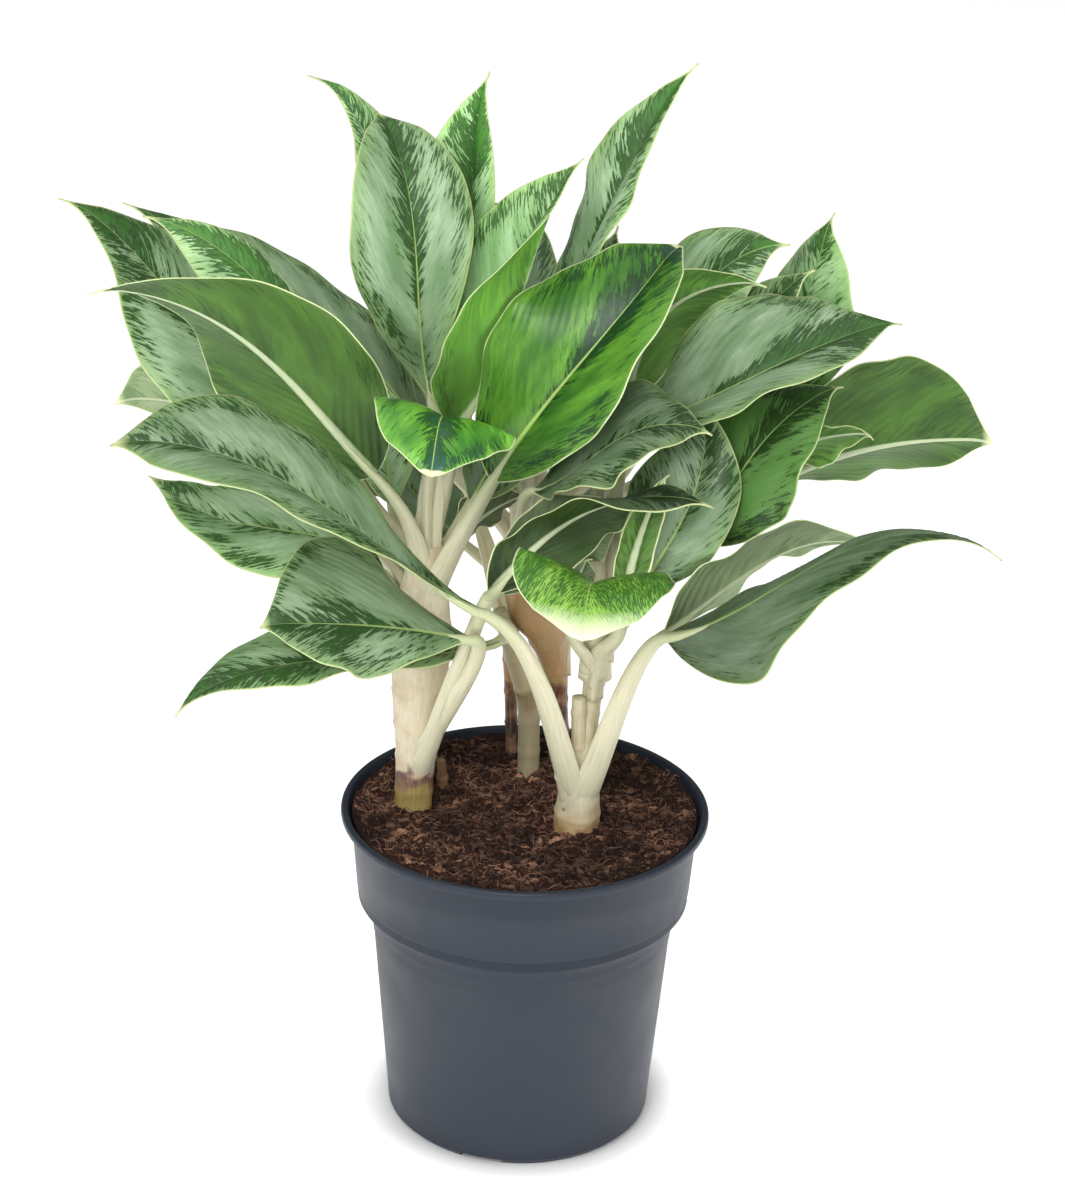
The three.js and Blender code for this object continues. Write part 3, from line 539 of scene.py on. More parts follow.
# Each cane is a stem and the feet of old stalks grown in one with it: places along each, with its radius.
canes = {
    "left": [[(-51, 8, 117, 8), (-52, 8, 150, 8.4), (-51, 8, 180, 9.2), (-50, 8, 210, 12), (-49, 7, 245, 13),
              (-47, 7, 285, 7)]],
    "left_stub": [[(-38, 30, 117, 3), (-39, 29, 150, 2.8), (-40, 28, 166, 2)]],
    "back": [
        [(17, 58, 117, 5), (16, 58, 150, 5.2), (14, 56, 182, 4.8), (12, 54, 204, 6.4), (7, 50, 224, 9.5),
         (-1, 47, 242, 10.5), (-3, 45, 290, 6)],
        [(-7, 62, 117, 2.8), (-7, 62, 151, 2.8), (-8, 60, 185, 3), (-9, 57, 215, 3.4), (-6, 52, 240, 4)],
    ],
    "back_slim": [
        [(1, 46, 117, 5), (1, 46, 151, 5.2), (0, 44, 188, 5), (-7, 40, 215, 4.4), (-14, 36, 240, 3)],
    ],
    "front": [
        [(24, -6, 117, 10.5), (24, -6, 150, 10.8), (25, -7, 172, 9), (27, -7, 200, 5.4), (30, -6, 225, 4.4),
         (33, -3, 247, 4.2)],
        [(25, -9, 160, 5), (24, -10, 190, 4), (23, -11, 219, 3.2)],
        [(21, -9, 160, 4), (15, -13, 190, 3.4), (11, -15, 218, 2.6)],
    ],
}

UP = np.array([0.0, 0.0, 1.0])


def unit(vectors):
    return vectors / np.linalg.norm(vectors, axis=-1, keepdims=True)


def bezier(p0, p1, p2, p3, s):
    """Places and directions along a bent line given by its four handles."""
    places = (1 - s) ** 3 * p0 + 3 * (1 - s) ** 2 * s * p1 + 3 * (1 - s) * s ** 2 * p2 + s ** 3 * p3
    slopes = (1 - s) ** 2 * (p1 - p0) + 2 * (1 - s) * s * (p2 - p1) + s ** 2 * (p3 - p2)
    return places, unit(slopes)


def rib_handles(leaf):
    """The rib's four handles and the direction to its left, which stays level across the chord."""
    base = np.array(leaf["base"], dtype=float)
    chord = np.array(leaf["tip"], dtype=float) - base
    left = unit(np.cross(UP, chord))
    lift = unit(np.cross(chord, left))
    off = [lift * arch + left * sway for arch, sway in zip(leaf["arch"], leaf["sway"])]
    near = base + chord / 3 + 3 * off[0] - 1.5 * off[1]
    far = base + 2 * chord / 3 + 3 * off[1] - 1.5 * off[0]
    return [base, near, far, base + chord], left


def between(values, s):
    """A value given at a blade's start, middle and end, read at s."""
    start, middle, end = values
    return start * (1 - s) * (1 - 2 * s) + middle * 4 * s * (1 - s) + end * s * (2 * s - 1)


def rib_frame(leaf, s):
    """The rib's places, and the directions across the blade to its left and out of its upper face there."""
    handles, left = rib_handles(leaf)
    rib, along = bezier(*handles, s)
    side = unit(left - np.sum(along * left, axis=1, keepdims=True) * along)
    face = np.cross(along, side)
    roll = np.radians(between(leaf["roll"], s))
    return rib, side * np.cos(roll) + face * np.sin(roll), face * np.cos(roll) - side * np.sin(roll)


# ---- Canes and leaf stalks ----
# Each cane is a fleshy stem with rings where old leaves fell. Each stalk is grooved on the side that faces
# the cane, clasps it with a thin sheath at its foot, and runs on under its blade as the midrib.
cane_sides = 36
cane_steps = 90
stalk_sides = 30
stalk_steps = 46
node_ring_spacing = 17  # mm between the rings of old leaves
node_ring_height = 0.5
node_ring_half = 1.3
three_lobe_share = 0.035  # how uneven a cane is round its middle
five_lobe_share = 0.02
stalk_breadth = 1.08  # this and the shares below are of a stalk's radius
stalk_depth = 0.86
stalk_taper = 0.7  # what is gone where the stalk ends under its blade
sheath_wing = 0.22
sheath_fold = 0.25
groove_depth = 0.55
groove_half = 0.45
sheath_share = 0.62  # how much of a stalk is sheathed
sheath_fade = 0.1
under_rib_share = 0.14  # how much of the midrib the stalk's own mesh covers
under_rib_steps = 6
under_rib_drop = 1.1  # mm under the blade's middle sheet
blush_size = 8 * MM
ring_wander = 24 * MM  # how far the edges between a cane's colours rise and fall round it
streak_fineness = 1.1  # streaks for each mm round a stalk
streak_stretch = (1, 1, 0.045)  # streaks are drawn out along it
blush_tint = "BE9068"
young_tint = "D8D4B6"
streak_tint = "B3B08A"


def through(route, shares):
    """Places, and the values beside them, at shares of a smooth line through a route's points."""
    route = np.array(route, dtype=float)
    padded = np.vstack([2 * route[0] - route[1], route, 2 * route[-1] - route[-2]])
    spans = np.clip(np.asarray(shares), 0, 1) * (len(route) - 1)
    first = np.minimum(spans.astype(int), len(route) - 2)
    t = (spans - first)[:, None]
    a, b, c, d = (padded[first + step] for step in range(4))
    straight = 2 * b + (c - a) * t
    return 0.5 * (straight + (2 * a - 5 * b + 4 * c - d) * t ** 2 + (3 * b - 3 * c + d - a) * t ** 3)


def sweep(centres, inward, offsets):
    """Rings round a line: the offsets are each ring's places across it and towards inward. Also returns each
    point's place round and along the line, which the skin's grain follows."""
    along = unit(np.gradient(centres, axis=0))
    front = unit(inward - np.sum(inward * along, axis=1, keepdims=True) * along)
    across = np.cross(along, front)
    rings = centres[:, None] + offsets[..., :1] * across[:, None] + offsets[..., 1:] * front[:, None]
    count, sides = rings.shape[:2]
    points = np.vstack([rings.reshape(-1, 3), centres[0], centres[-1]])
    lengths = np.concatenate([[0], np.cumsum(np.linalg.norm(np.diff(centres, axis=0), axis=1))])
    spread = np.repeat(lengths, sides)[:, None]
    grain = np.vstack([np.hstack([offsets.reshape(-1, 2), spread]), [0, 0, 0], [0, 0, lengths[-1]]])
    return points, tube_faces(count, sides), grain


def cane_mesh(route, order):
    """A stem: nearly round, with a ring at each old leaf's foot, and nowhere young."""
    shares = np.linspace(0, 1, cane_steps)
    line = through(route, shares)
    heights = line[:, 2]
    ring_phase = (heights + 5 * order) / node_ring_spacing
    ridge = node_ring_height * np.exp(-((ring_phase % 1 - 0.5) * node_ring_spacing / node_ring_half) ** 2)
    turns = np.arange(cane_sides) * 2 * math.pi / cane_sides
    lobes = three_lobe_share * np.sin(3 * turns + order) + five_lobe_share * np.sin(5 * turns + 2 * order)
    radii = (line[:, 3] + ridge)[:, None] * (1 + lobes)
    offsets = np.stack([radii * np.cos(turns), radii * np.sin(turns)], axis=-1)
    points, faces, grain = sweep(line[:, :3], np.array([[0.0, -1.0, 0.0]]), offsets)
    return points, faces, grain, np.zeros(len(points))


def stalk_line(leaf):
    """The stalk's centre line, carried on a little under the blade, with the way it faces."""
    samples = through(canes[leaf["cane"]][0], np.linspace(0, 1, 400))
    foot = samples[np.argmin(np.abs(samples[:, 2] - leaf["joint"])), :3]
    handles, _ = rib_handles(leaf)
    end = handles[0]
    reach = np.linalg.norm(end - foot)
    outward = unit(UP * (1 - leaf["lean"]) + unit(end - foot) * leaf["lean"])
    arrive = end - unit(handles[1] - end) * reach * leaf["pull"][1]
    s = np.linspace(0, 1, stalk_steps)[:, None]
    centres, _ = bezier(foot, foot + outward * reach * leaf["pull"][0], arrive, end, s)
    under, _, upward = rib_frame(leaf, np.linspace(0, under_rib_share, under_rib_steps + 1)[1:, None])
    inward = np.array([*(foot - end)[:2], 0.0])
    inward = inward + UP * np.linalg.norm(inward)
    return np.vstack([centres, under - under_rib_drop * upward]), inward[None, :]


def stalk_mesh(leaf):
    """A stalk, grooved on its inner side and sheathed below, and how young each of its points is."""
    centres, inward = stalk_line(leaf)
    count = len(centres)
    s = np.minimum(np.arange(count) / (stalk_steps - 1), 1)[:, None]
    past = np.maximum(np.arange(count) - stalk_steps + 1, 0)[:, None] / under_rib_steps
    at_foot, at_end = leaf["radii"]
    size = (at_foot + (at_end - at_foot) * s) * (1 - stalk_taper * past)
    turns = (np.arange(stalk_sides) + 0.5) * 2 * math.pi / stalk_sides
    sheath = np.clip((sheath_share - s) / sheath_fade, 0, 1)
    across = size * (stalk_breadth + sheath_wing * sheath * np.abs(np.cos(turns)) ** 6) * np.cos(turns)
    inwards = size * stalk_depth * np.sin(turns)
    groove = groove_depth * np.exp(-(np.cos(turns) / groove_half) ** 2) * (np.sin(turns) > 0)
    inwards = inwards - size * groove * (0.35 + 0.45 * sheath)
    inwards = inwards + size * sheath_fold * sheath * np.abs(np.cos(turns)) ** 10
    points, faces, grain = sweep(centres, inward, np.stack([across, inwards], axis=-1))
    young = np.append(np.repeat(0.1 + s[:, 0] + past[:, 0], stalk_sides), [0.1, 2.1])
    return points, faces, grain, young


def cane_skin(name, low_tint, ring_tint, mid_tint, high_tint, bare_height, green_height, blush_share):
    """Fleshy stalk skin: brownish at the foot, cream with fine streaks above, greener near the blades."""
    material, tree, shader = new_material(name)
    place = add(tree, "ShaderNodeTexCoord", {}).outputs["Object"]
    young = add(tree, "ShaderNodeAttribute", {}, attribute_name="young").outputs["Fac"]
    height = add(tree, "ShaderNodeSeparateXYZ", {0: place}).outputs["Z"]
    grain = add(tree, "ShaderNodeAttribute", {}, attribute_name="grain").outputs["Vector"]
    drawn = add(tree, "ShaderNodeVectorMath", {0: grain, 1: streak_stretch},
                operation="MULTIPLY").outputs[0]
    streaks = add(tree, "ShaderNodeTexNoise",
                  {"Vector": drawn, "Scale": streak_fineness, "Detail": 4}).outputs["Fac"]
    blush = add(tree, "ShaderNodeTexNoise",
                {"Vector": place, "Scale": 1 / blush_size, "Detail": 4}).outputs["Fac"]
    wander = add(tree, "ShaderNodeMath", {0: blush, 1: ring_wander, 2: height},
                 operation="MULTIPLY_ADD").outputs[0]
    skin = linear(low_tint)
    for value, start, end, most, tint in (  # each tint's share grows to its most between start and end
        (wander, bare_height, bare_height + 5 * MM, 1, ring_tint),
        (wander, bare_height + 7 * MM, bare_height + 12 * MM, 1, mid_tint),
        (wander, green_height, green_height + 70 * MM, 1, high_tint),
        (blush, 0.45, 0.7, blush_share, blush_tint),
        (young, 0.02, 0.22, 1, young_tint),
        (young, 0.75, 1.15, 0.8, high_tint),
        (streaks, 0.45, 0.75, 0.45, streak_tint),
    ):
        span = {"Value": value, 1: start, 2: end, 3: 0, 4: most}
        share = add(tree, "ShaderNodeMapRange", span).outputs[0]
        skin = add(tree, "ShaderNodeMix", {0: share, 6: skin, 7: linear(tint)}, data_type="RGBA").outputs[2]
    relief = add(tree, "ShaderNodeBump", {"Height": streaks, "Strength": 0.4, "Distance": 0.4 * MM})
    plug(tree, shader, {
        "Base Color": skin,
        "Roughness": 0.46,
        "Normal": relief.outputs[0],
        "Subsurface Weight": 0.12,
        "Subsurface Radius": (1.2, 0.9, 0.5),
        "Subsurface Scale": 2 * MM,
    })
    return material


cane_skins = {
    "left": cane_skin("stem_skin_left", "9C8A4A", "6A4048", "E2D6BA", "B9C496", 175 * MM, 320 * MM, 0.4),
    "left_stub": cane_skin("stem_skin_dead", "7A5A3C", "6A4A34", "94744E", "94744E", 180 * MM, 320 * MM, 0.3),
    "back": cane_skin("stem_skin_back", "4A2E30", "6A4030", "B08D5C", "B9C496", 196 * MM, 320 * MM, 0.7),
    "back_slim": cane_skin("stem_skin_slim", "A2987A", "8C7A58", "B0A682", "B3B68C", 200 * MM, 270 * MM, 0.2),
    "front": cane_skin("stem_skin_front", "A07C50", "CBB189", "D6CFB2", "B9C496", 163 * MM, 300 * MM, 0.3),
}

for order, (cane_name, limbs) in enumerate(canes.items()):
    parts = [cane_mesh(route, order + 3 * branch) for branch, route in enumerate(limbs)]
    parts += [stalk_mesh(leaf) for leaf in leaves if leaf["cane"] == cane_name]
    points, faces, grain, young = join(parts)
    stem = new_piece(f"stem_{cane_name}", points * MM, faces, [cane_skins[cane_name]],
                     [f"cane_{cane_name}"])
    give(stem, "grain", grain)
    give(stem, "young", young)

# ---- Leaf blades ----
# Each blade is a thin waxy sheet, silvery above with dark green that flames out from the midrib and flecks
# the margins along the side veins, but two are fresh green and one is speckled. The margin is a clear cream
# line, and the under side is grey or olive green.
# Each blade's colours also hold painted light and shade: some leaves are painted lighter or darker as a
# whole, and every blade is painted darker by its stalk.
blade_steps = 90
blade_halves = 22  # columns on each side of the rib, closer together near it
blade_start = 0.3  # mm between the stalk's end and the blade
rib_thickness = 0.7
edge_thickness = 0.3
rib_ridge = 1.6
rib_groove = 0.45
rib_ridge_half = 1.7
rib_groove_half = 1.2
vein_spacing = 7.0  # mm between side veins
vein_swell = 0.3
base_fullness = 0.72
stalk_end_half = 2.4
tip_end_half = 0.5
tail_start = 0.9  # where the blade narrows into its curled tail
tail_droop = 3.0
tail_narrowing = 0.45
cup = 2.4
ripples = 2.2  # along a blade's margin
ripple_shift = 0.3
fine_ripples = 5.3
fine_ripple_share = 0.36  # of the coarse ripples' height
outline_wobble = 0.012
outline_wobbles = 3.1
streak_size = (2.1, 6.5)  # mm across the side veins and away from the rib
cloud_size = (18, 14)
vein_lean = 1.35  # how far a side vein runs tipwards for each mm away from the rib
vein_curve = 0.012
half_shift = 40  # mm between the two halves in the pattern, so that they differ
flame_gain = 0.26
flame_least = 0.09  # a flame's width, as a share of the blade's, and what its widest place adds
flame_most = 0.3
flame_centre = 0.7  # where along the blade a flame is widest, and how far it reaches from there
flame_length = 0.19
band_gain = 0.16
band_depth = 5  # mm from the margin to the middle of the dark band inside it
band_half = 6
usual_lean = -0.13  # the lower, the fewer dark patches anywhere
usual_flame = 0.5  # how strongly dark green spreads from the midrib where a leaf names no other
flames = {
    "right_large": 1, "centre_big": 0.7, "top_left": 0.8, "top_mid": 0.8, "top_right": 0.9, "left_tip": 0.9,
    "left_rear": 0.8, "right_round": 0.8, "left_cup": 0.75, "left_low": 0.7, "left_back": 0.7,
    "left_front": 0.55, "front_curl": 0.85, "right_low": 0.8, "low_right": 0.15,
}
speckled_leaves = {"front_bright"}
lush_tint = "5C9A34"
lush = {  # how far a silvery leaf leans to the fresh green of a young one
    "right_low": 0.7, "top_mid": 0.12, "right_up": 0.2, "centre_fold": 0.2,
}
stalk_painted_shade = 0.62  # painted shade: a blade is painted darker where it leaves its stalk, where the other leaves shade it
stalk_painted_shade_reach = 0.35
tones = {  # painted light and shade: how much lighter or darker a leaf is painted than its skin's usual colour, for the light it gets; the shaded inner leaves are the darkest
    "top_mid": 2.7, "top_curl": 2.8, "centre_fold": 1.9, "left_tip": 2.3, "right_up": 1.7, "top_right": 1.6,
    "right_round": 1.6, "left_under": 1.65, "right_plain": 1.6, "top_left": 1.3, "left_low": 1.25,
    "left_low_back": 1.55, "left_back": 1.25, "low_right_rolled": 1.2, "right_slim": 1.5, "right_large": 1.15,
    "inner_left": 1.6, "front_curl": 1.6, "left_rear": 1.1, "left_cup": 1.05, "centre_big": 0.9,
    "right_far": 0.76, "left_high": 0.75, "right_low": 0.78, "right_wave": 0.7, "low_right": 0.68,
    "mid_under": 1.1, "mid_dark": 0.6, "inner": 0.8, "right_under": 0.34,
}


def blade_sheet(leaf, order):
    """The blade's middle sheet as a grid of places, with what the material reads at each."""
    fine = np.linspace(0, 1, 400)[:, None]
    rib_fine, _, _ = rib_frame(leaf, fine)
    lengths = np.concatenate([[0], np.cumsum(np.linalg.norm(np.diff(rib_fine, axis=0), axis=1))])
    s = np.linspace(blade_start / lengths[-1], 1, blade_steps)[:, None]
    columns = np.linspace(-1, 1, 2 * blade_halves + 1)
    v = (np.sign(columns) * np.abs(columns) ** 1.5)[None, :]
    rib, to_left, upward = rib_frame(leaf, s)
    power = math.log(0.5) / math.log(leaf["widest"])
    share = np.sin(math.pi * s ** power) ** (base_fullness + leaf["draw"] * s ** 3)
    phase = (order * 0.37) % 1
    full_turn = 2 * math.pi
    wobble = 1 + outline_wobble * np.sin(full_turn * (outline_wobbles * s + phase + 0.25 * np.sign(v)))
    tail = np.clip((s - tail_start) / (1 - tail_start), 0, 1)
    least = stalk_end_half + (tip_end_half - stalk_end_half) * s
    half = np.where(v < 0, leaf["wide"][0], leaf["wide"][1]) * share * wobble * (1 - tail_narrowing * tail)
    half = np.maximum(half, least)
    reach = np.abs(v) * half
    rise = np.radians(between(leaf["fold"], s))
    bulge = cup * np.sin(math.pi * np.abs(v)) * share
    broad = np.sin(full_turn * (ripples * s + phase + ripple_shift * np.sign(v)))
    narrow = np.sin(full_turn * (fine_ripples * s + 3 * phase + 0.2 * v))
    wave = leaf["wave"] * share * (v ** 2 * broad + fine_ripple_share * v ** 4 * narrow)
    across = -np.sign(v) * reach * np.cos(rise)
    lifted = reach * np.sin(rise) + bulge + wave - tail_droop * tail ** 2
    sheet = rib[:, None] + to_left[:, None] * across[..., None] + upward[:, None] * lifted[..., None]
    length_here = np.interp(s, fine[:, 0], lengths)
    vein = length_here - vein_lean * reach - vein_curve * reach ** 2
    return sheet, s + 0 * v, v + 0 * s, reach, half, vein


def dark_share(leaf, s, v, reach, half, order):
    """How readily the blade is dark: beside the rib's tip half, in a band by the margins, seldom between."""
    if leaf["name"] in speckled_leaves:
        return 0.04 - 0.12 * np.clip((s - 0.8) / 0.2, 0, 1) - 0.05 * np.exp(-(reach / 3) ** 2)
    strength = flames.get(leaf["name"], usual_flame)
    wide = half.max() * (flame_least + flame_most * np.exp(-((s - flame_centre) / flame_length) ** 2))
    grown = np.clip((s - 0.12) / 0.25, 0, 1)
    at_rib = flame_gain * strength * grown * np.exp(-(reach / wide) ** 2)
    from_edge = (1 - np.abs(v)) * half
    uneven = 0.65 + 0.35 * np.sin(2 * math.pi * (1.3 * s + 0.37 * order + 0.3 * np.sign(v)))
    at_edge = band_gain * uneven * np.exp(-((from_edge - band_depth) / band_half) ** 2)
    return at_rib + at_edge + usual_lean


def blade_mesh(leaf, order):
    """A closed thin sheet: the upper grid, the lower grid with the ribbed back, and a rim."""
    sheet, s, v, reach, half, vein = blade_sheet(leaf, order)
    down = np.gradient(sheet, axis=0)
    over = np.gradient(sheet, axis=1)
    normal = unit(np.cross(over, down))
    between_edges = 4 * np.abs(v) * (1 - np.abs(v))
    swell = vein_swell * np.cos(2 * math.pi * vein / vein_spacing) * between_edges * (1 - 0.6 * s)
    middle = sheet + normal * swell[..., None]
    thin = edge_thickness + (rib_thickness - edge_thickness) * (1 - v ** 2)
    groove = rib_groove * (1 - s) * np.exp(-(reach / rib_groove_half) ** 2)
    ridge = rib_ridge * (1 - s) * np.exp(-(reach / rib_ridge_half) ** 2)
    upper = middle + normal * (thin / 2 - groove)[..., None]
    lower = middle - normal * (thin / 2 + ridge)[..., None]
    rows, columns = s.shape
    count = rows * columns
    points = np.vstack([upper.reshape(-1, 3), lower.reshape(-1, 3)])
    faces = []
    for row in range(rows - 1):
        for column in range(columns - 1):
            corner = row * columns + column
            faces.append((corner, corner + columns, corner + columns + 1, corner + 1))
    top_faces = len(faces)
    faces += [tuple(place + count for place in reversed(face)) for face in faces]
    rim = list(range(columns - 1))
    rim += [row * columns + columns - 1 for row in range(rows - 1)]
    rim += [(rows - 1) * columns + column for column in range(columns - 1, 0, -1)]
    rim += [row * columns for row in range(rows - 1, 0, -1)]
    faces += [(a, b, b + count, a + count) for a, b in zip(rim, rim[1:] + rim[:1])]
    face_materials = np.zeros(len(faces), dtype=np.int32)
    face_materials[top_faces:2 * top_faces] = 1
    values = {
        "vein": vein,
        "reach": reach + half_shift * (v > 0),
        "edge": (1 - np.abs(v)) * half,
        "ripe": s,
        "dark": dark_share(leaf, s, v, reach, half, order),
        "plant": np.full(s.shape, float(order)),
        # painted light and shade: each leaf's painted lightness, with painted shade by its stalk
        "tone": tones.get(leaf["name"], 1) * np.minimum(stalk_painted_shade + (1 - stalk_painted_shade) * s / stalk_painted_shade_reach, 1),
        "rib": reach / np.maximum(1 - s, 0.25),
        "lush": np.full(s.shape, float(lush.get(leaf["name"], 0))),
    }
    return points, faces, face_materials, values


def leaf_skin(name, contrast, fleck_size, fleck_share, tip_start, rib_half, gloss, glow, **tints):
    """Waxy leaf skin: a satin sheet whose ragged colour patches follow the side veins."""
    material, tree, shader = new_material(name)
    tint = {part: linear(colour) for part, colour in tints.items()}
    read = {key: add(tree, "ShaderNodeAttribute", {}, attribute_name=key).outputs["Fac"]
            for key in ("vein", "reach", "edge", "ripe", "dark", "plant", "rib", "tone", "lush")}
    grain = add(tree, "ShaderNodeCombineXYZ",
                {0: read["vein"], 1: read["reach"], 2: read["plant"]}).outputs[0]
    noises = []
    for fineness, detail, roughness in (  # fineness goes with the grain, and its third sets leaves apart
        ((1 / streak_size[0], 1 / streak_size[1], 7.3), 5, 0.62),
        ((0.62 / fleck_size, 0.3 / fleck_size, 3.1), 4, 0.6),
        ((1 / cloud_size[0], 1 / cloud_size[1], 5.7), 2, 0.5),
    ):
        scaled = add(tree, "ShaderNodeVectorMath", {0: grain, 1: fineness}, operation="MULTIPLY").outputs[0]
        pattern = add(tree, "ShaderNodeTexNoise",
                      {"Vector": scaled, "Scale": 1, "Detail": detail, "Roughness": roughness})
        noises.append(pattern.outputs["Fac"])
    streaks, flecks, clouds = noises
    short = add(tree, "ShaderNodeMapRange", {"Value": read["edge"], 1: 16, 2: 6, 3: fleck_share, 4: 0.9})
    mixed = add(tree, "ShaderNodeMix", {0: short.outputs[0], 2: streaks, 3: flecks})
    mixed = add(tree, "ShaderNodeMix", {0: 0.2, 2: mixed.outputs[0], 3: clouds})
    leaning = add(tree, "ShaderNodeMath", {0: mixed.outputs[0], 1: read["dark"]}, operation="ADD").outputs[0]
    share = {"lush": read["lush"]}
    for part, value, start, end, most in (  # as in the cane's skin
        ("shade", clouds, 0.35, 0.65, 1),
        ("hairs", flecks, 0.3, 0.7, 0.55),
        ("band", read["edge"], 8, 0.5, 0.6),
        ("halo", leaning, 0.43, 0.51, 0.45),
        ("patch", leaning, 0.508, 0.522, contrast),
        ("core", leaning, 0.57, 0.68, 1),
        ("rib", read["rib"], 1.8 * rib_half, rib_half, 0.8),
        ("edge", read["edge"], 0.75, 0.35, 1),
        ("tip", read["ripe"], tip_start, 0.985, 1),
    ):
        span = {"Value": value, 1: start, 2: end, 3: 0, 4: most}
        share[part] = add(tree, "ShaderNodeMapRange", span).outputs[0]
    blot = add(tree, "ShaderNodeMix", {0: share["core"], 6: tint["dark"], 7: tint["core"]}, data_type="RGBA")
    skin = tint["ground"]
    for part, over in (
        ("shade", tint["shade"]), ("hairs", tint["shade"]), ("band", tint["band"]),
        ("lush", linear(lush_tint)), ("halo", tint["halo"]), ("patch", blot.outputs[2]),
    ):
        skin = add(tree, "ShaderNodeMix", {0: share[part], 6: skin, 7: over}, data_type="RGBA").outputs[2]
    # Painted light and shade: the colours are scaled by the leaf's tone, which paints some leaves lighter,
    # others darker, and each blade's foot darker.
    skin_with_painted_light = add(tree, "ShaderNodeVectorMath", {0: skin, "Scale": read["tone"]}, operation="SCALE")
    pale = add(tree, "ShaderNodeMath", {0: share["edge"], 1: share["tip"]}, operation="MAXIMUM")
    skin = add(tree, "ShaderNodeMix", {0: share["rib"], 6: skin_with_painted_light.outputs[0], 7: tint["rib"]},
               data_type="RGBA")
    skin = add(tree, "ShaderNodeMix", {0: pale.outputs[0], 6: skin.outputs[2], 7: tint["margin"]},
               data_type="RGBA")
    turn = add(tree, "ShaderNodeMath", {0: read["vein"], 1: 2 * math.pi / vein_spacing},
               operation="MULTIPLY")
    ridges = add(tree, "ShaderNodeMath", {0: turn.outputs[0]}, operation="COSINE")
    height = add(tree, "ShaderNodeMix", {0: 0.5, 2: ridges.outputs[0], 3: flecks})
    relief = add(tree, "ShaderNodeBump",
                 {"Height": height.outputs[0], "Strength": 0.4, "Distance": 0.3 * MM})
    plug(tree, shader, {
        "Base Color": skin.outputs[2],
        "Roughness": gloss,
        "Normal": relief.outputs[0],
        "Specular IOR Level": 0.35,
        "Subsurface Weight": glow,
        "Subsurface Radius": (0.5, 1.0, 0.25),
        "Subsurface Scale": 1 * MM,
    })
    return material


leaf_skins = {
    "silver": leaf_skin(
        "leaf_skin_silver", contrast=0.92, fleck_size=1, fleck_share=0.35, tip_start=0.955, rib_half=0.6,
        gloss=0.42, glow=0.08, ground="98AF8E", shade="68845F", band="7C9E5A", halo="5C7E40", dark="233F1B",
        core="356324", rib="A9C075", margin="C6D296",
    ),
    "fresh": leaf_skin(
        "leaf_skin_fresh", contrast=0.9, fleck_size=0.8, fleck_share=0.4, tip_start=0.98, rib_half=0.9,
        gloss=0.34, glow=0.12, ground="72AE3A", shade="356A22", band="6EA23E", halo="336A20", dark="1A3D19",
        core="264A48", rib="B4D474", margin="DFEBB4",
    ),
    "speckled": leaf_skin(
        "leaf_skin_speckled", contrast=0.95, fleck_size=0.55, fleck_share=0.95, tip_start=0.86, rib_half=0.5,
        gloss=0.36, glow=0.15, ground="9CC85C", shade="7CB040", band="A4CE6A", halo="6A9C36", dark="386A1C",
        core="2E5E34", rib="C8E09C", margin="EAF2CC",
    ),
    "under_grey": leaf_skin(
        "leaf_skin_under_grey", contrast=0.5, fleck_size=1.3, fleck_share=0.5, tip_start=0.955, rib_half=1.3,
        gloss=0.55, glow=0.08, ground="82916E", shade="6F805C", band="7A8E60", halo="62794E", dark="4C6440",
        core="445E3C", rib="C0CBA4", margin="DEE3B6",
    ),
    "under_olive": leaf_skin(
        "leaf_skin_under_olive", contrast=0.6, fleck_size=1.6, fleck_share=0.5, tip_start=0.955, rib_half=1.5,
        gloss=0.5, glow=0.15, ground="618F36", shade="466B2B", band="668A40", halo="4B702D", dark="325420",
        core="2C4E20", rib="CFDAB2", margin="DFEBB4",
    ),
}
fresh_leaves = {"centre_big", "front_curl"}
olive_backs = {"left_high", "centre_fold", "right_plain", "right_far", "centre_big",
               "inner", "right_rib", "right_under", "right_slim"}


def skins_of(leaf):
    """The skins of a blade's upper face and of its back."""
    name = leaf["name"]
    above = "fresh" if name in fresh_leaves else "speckled" if name in speckled_leaves else "silver"
    return leaf_skins[above], leaf_skins["under_olive" if name in olive_backs else "under_grey"]


for order, leaf in enumerate(leaves):
    points, faces, face_materials, values = blade_mesh(leaf, order)
    blade = new_piece(f"blade_{leaf['name']}", points * MM, faces, skins_of(leaf),
                      [f"leaf_{leaf['name']}"], face_materials)
    for key, grid in values.items():
        give(blade, key, np.concatenate([grid.ravel(), grid.ravel()]))
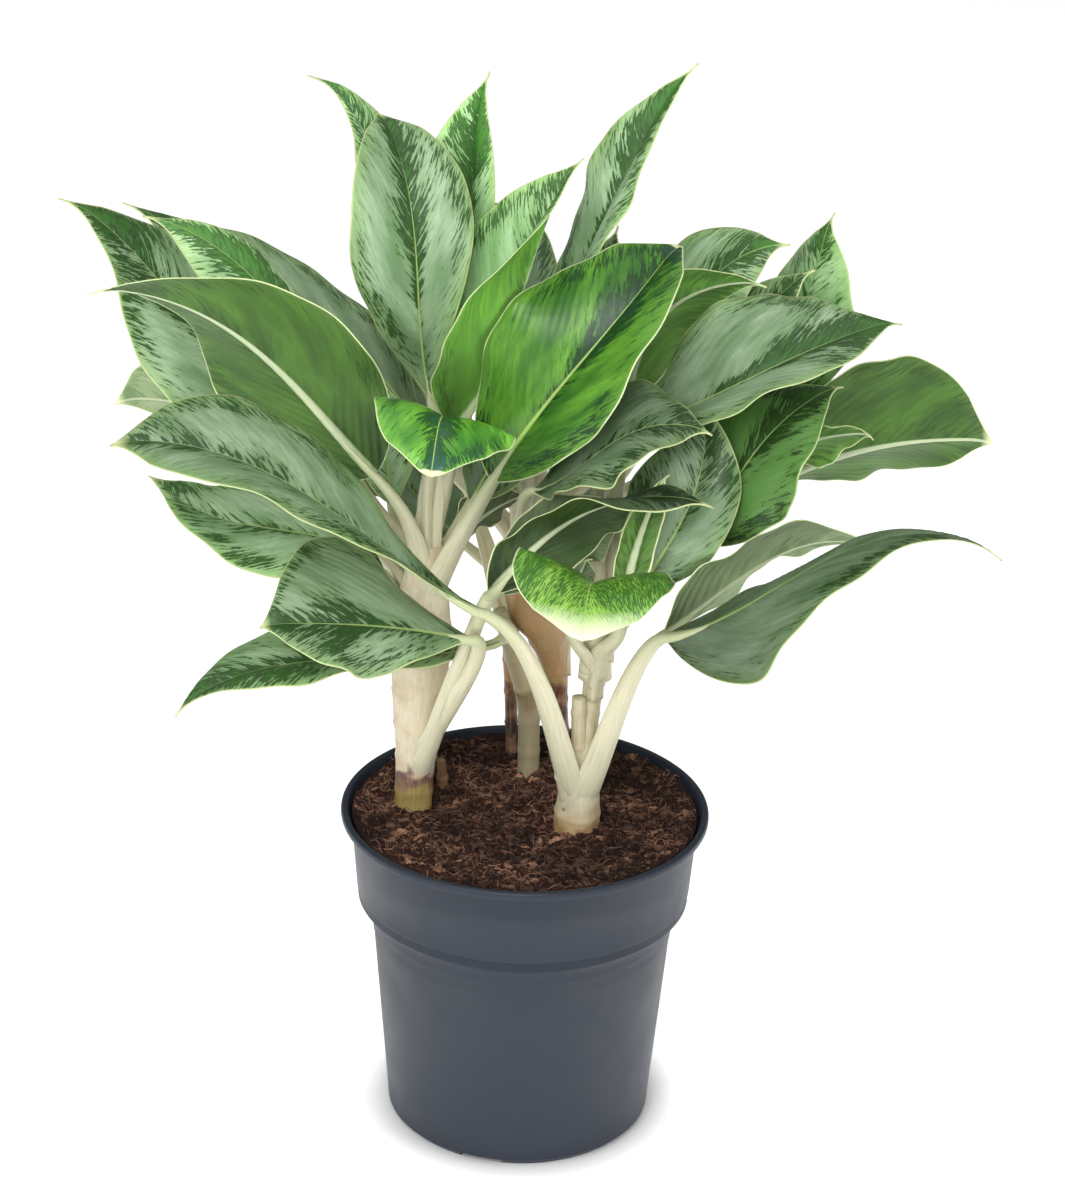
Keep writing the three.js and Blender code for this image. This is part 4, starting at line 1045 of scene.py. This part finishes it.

# ---- Floor and light ----
# The plant stands on a plain white floor that glows as if lit through from below, as in a product studio,
# with a painted shadow under and just round the pot where the glow fades out. Soft lights stand above, in
# front and at both sides.
floor_size = 14
painted_shadow_radius = 62 * MM
painted_shadow_fade = 18 * MM
floor_glow = 0.6
paper_mottle = 40 * MM
world_strength = 0.2
floor_mesh = bpy.data.meshes.new("floor")
floor_mesh.from_pydata([(-floor_size, -floor_size, 0), (floor_size, -floor_size, 0),
                        (floor_size, floor_size, 0), (-floor_size, floor_size, 0)], [], [(0, 1, 2, 3)])
floor = new_object("floor", floor_mesh)

# Matt paper that glows all round the pot, so that it shows as pure white from the photograph's angle.
backdrop, tree, shader = new_material("studio_paper_white")
place = add(tree, "ShaderNodeTexCoord", {}).outputs["Object"]
fibre = add(tree, "ShaderNodeTexNoise", {"Vector": place, "Scale": 1 / paper_mottle, "Detail": 2})
paper = add(tree, "ShaderNodeMix", {0: fibre.outputs["Fac"], 6: linear("FCFCFC"), 7: linear("FFFFFF")},
            data_type="RGBA")
away = add(tree, "ShaderNodeVectorMath", {0: place}, operation="LENGTH")
# Painted shadow: the floor's glow is gone under the pot and fades in over a short way round it, a dark ring
# at the pot's foot.
glow = add(tree, "ShaderNodeMapRange",
           {"Value": away.outputs["Value"], 1: painted_shadow_radius, 2: painted_shadow_radius + painted_shadow_fade, 3: 0, 4: floor_glow})
plug(tree, shader, {
    "Base Color": paper.outputs[2],
    "Roughness": 0.9,
    "Emission Color": (1, 1, 1, 1),
    "Emission Strength": glow.outputs[0],
})
floor_mesh.materials.append(backdrop)


def softbox(name, place, target, size, power):
    """A square studio light that faces its target."""
    light = bpy.data.lights.new(name, "AREA")
    light.shape = "SQUARE"
    light.size = size
    light.energy = power
    lamp = new_object(name, light)
    lamp.location = place
    lamp.rotation_euler = (Vector(target) - Vector(place)).to_track_quat("-Z", "Y").to_euler()


softbox("light_above", (-0.1, 0.1, 2.3), (0, 0, 0.2), 2.6, 17)
softbox("light_left", (-1.3, -1.3, 1.3), (0, 0, 0.3), 1.0, 8)
softbox("light_front", (-0.3, -1.9, 1.5), (0, 0, 0.3), 1.2, 33)
softbox("light_right", (1.7, -0.9, 1.1), (0, 0, 0.2), 1.2, 10)
studio = bpy.data.worlds.new("studio")
studio.use_nodes = True
studio.node_tree.nodes["Background"].inputs["Color"].default_value = (1, 1, 1, 1)
studio.node_tree.nodes["Background"].inputs["Strength"].default_value = world_strength
bpy.context.scene.world = studio
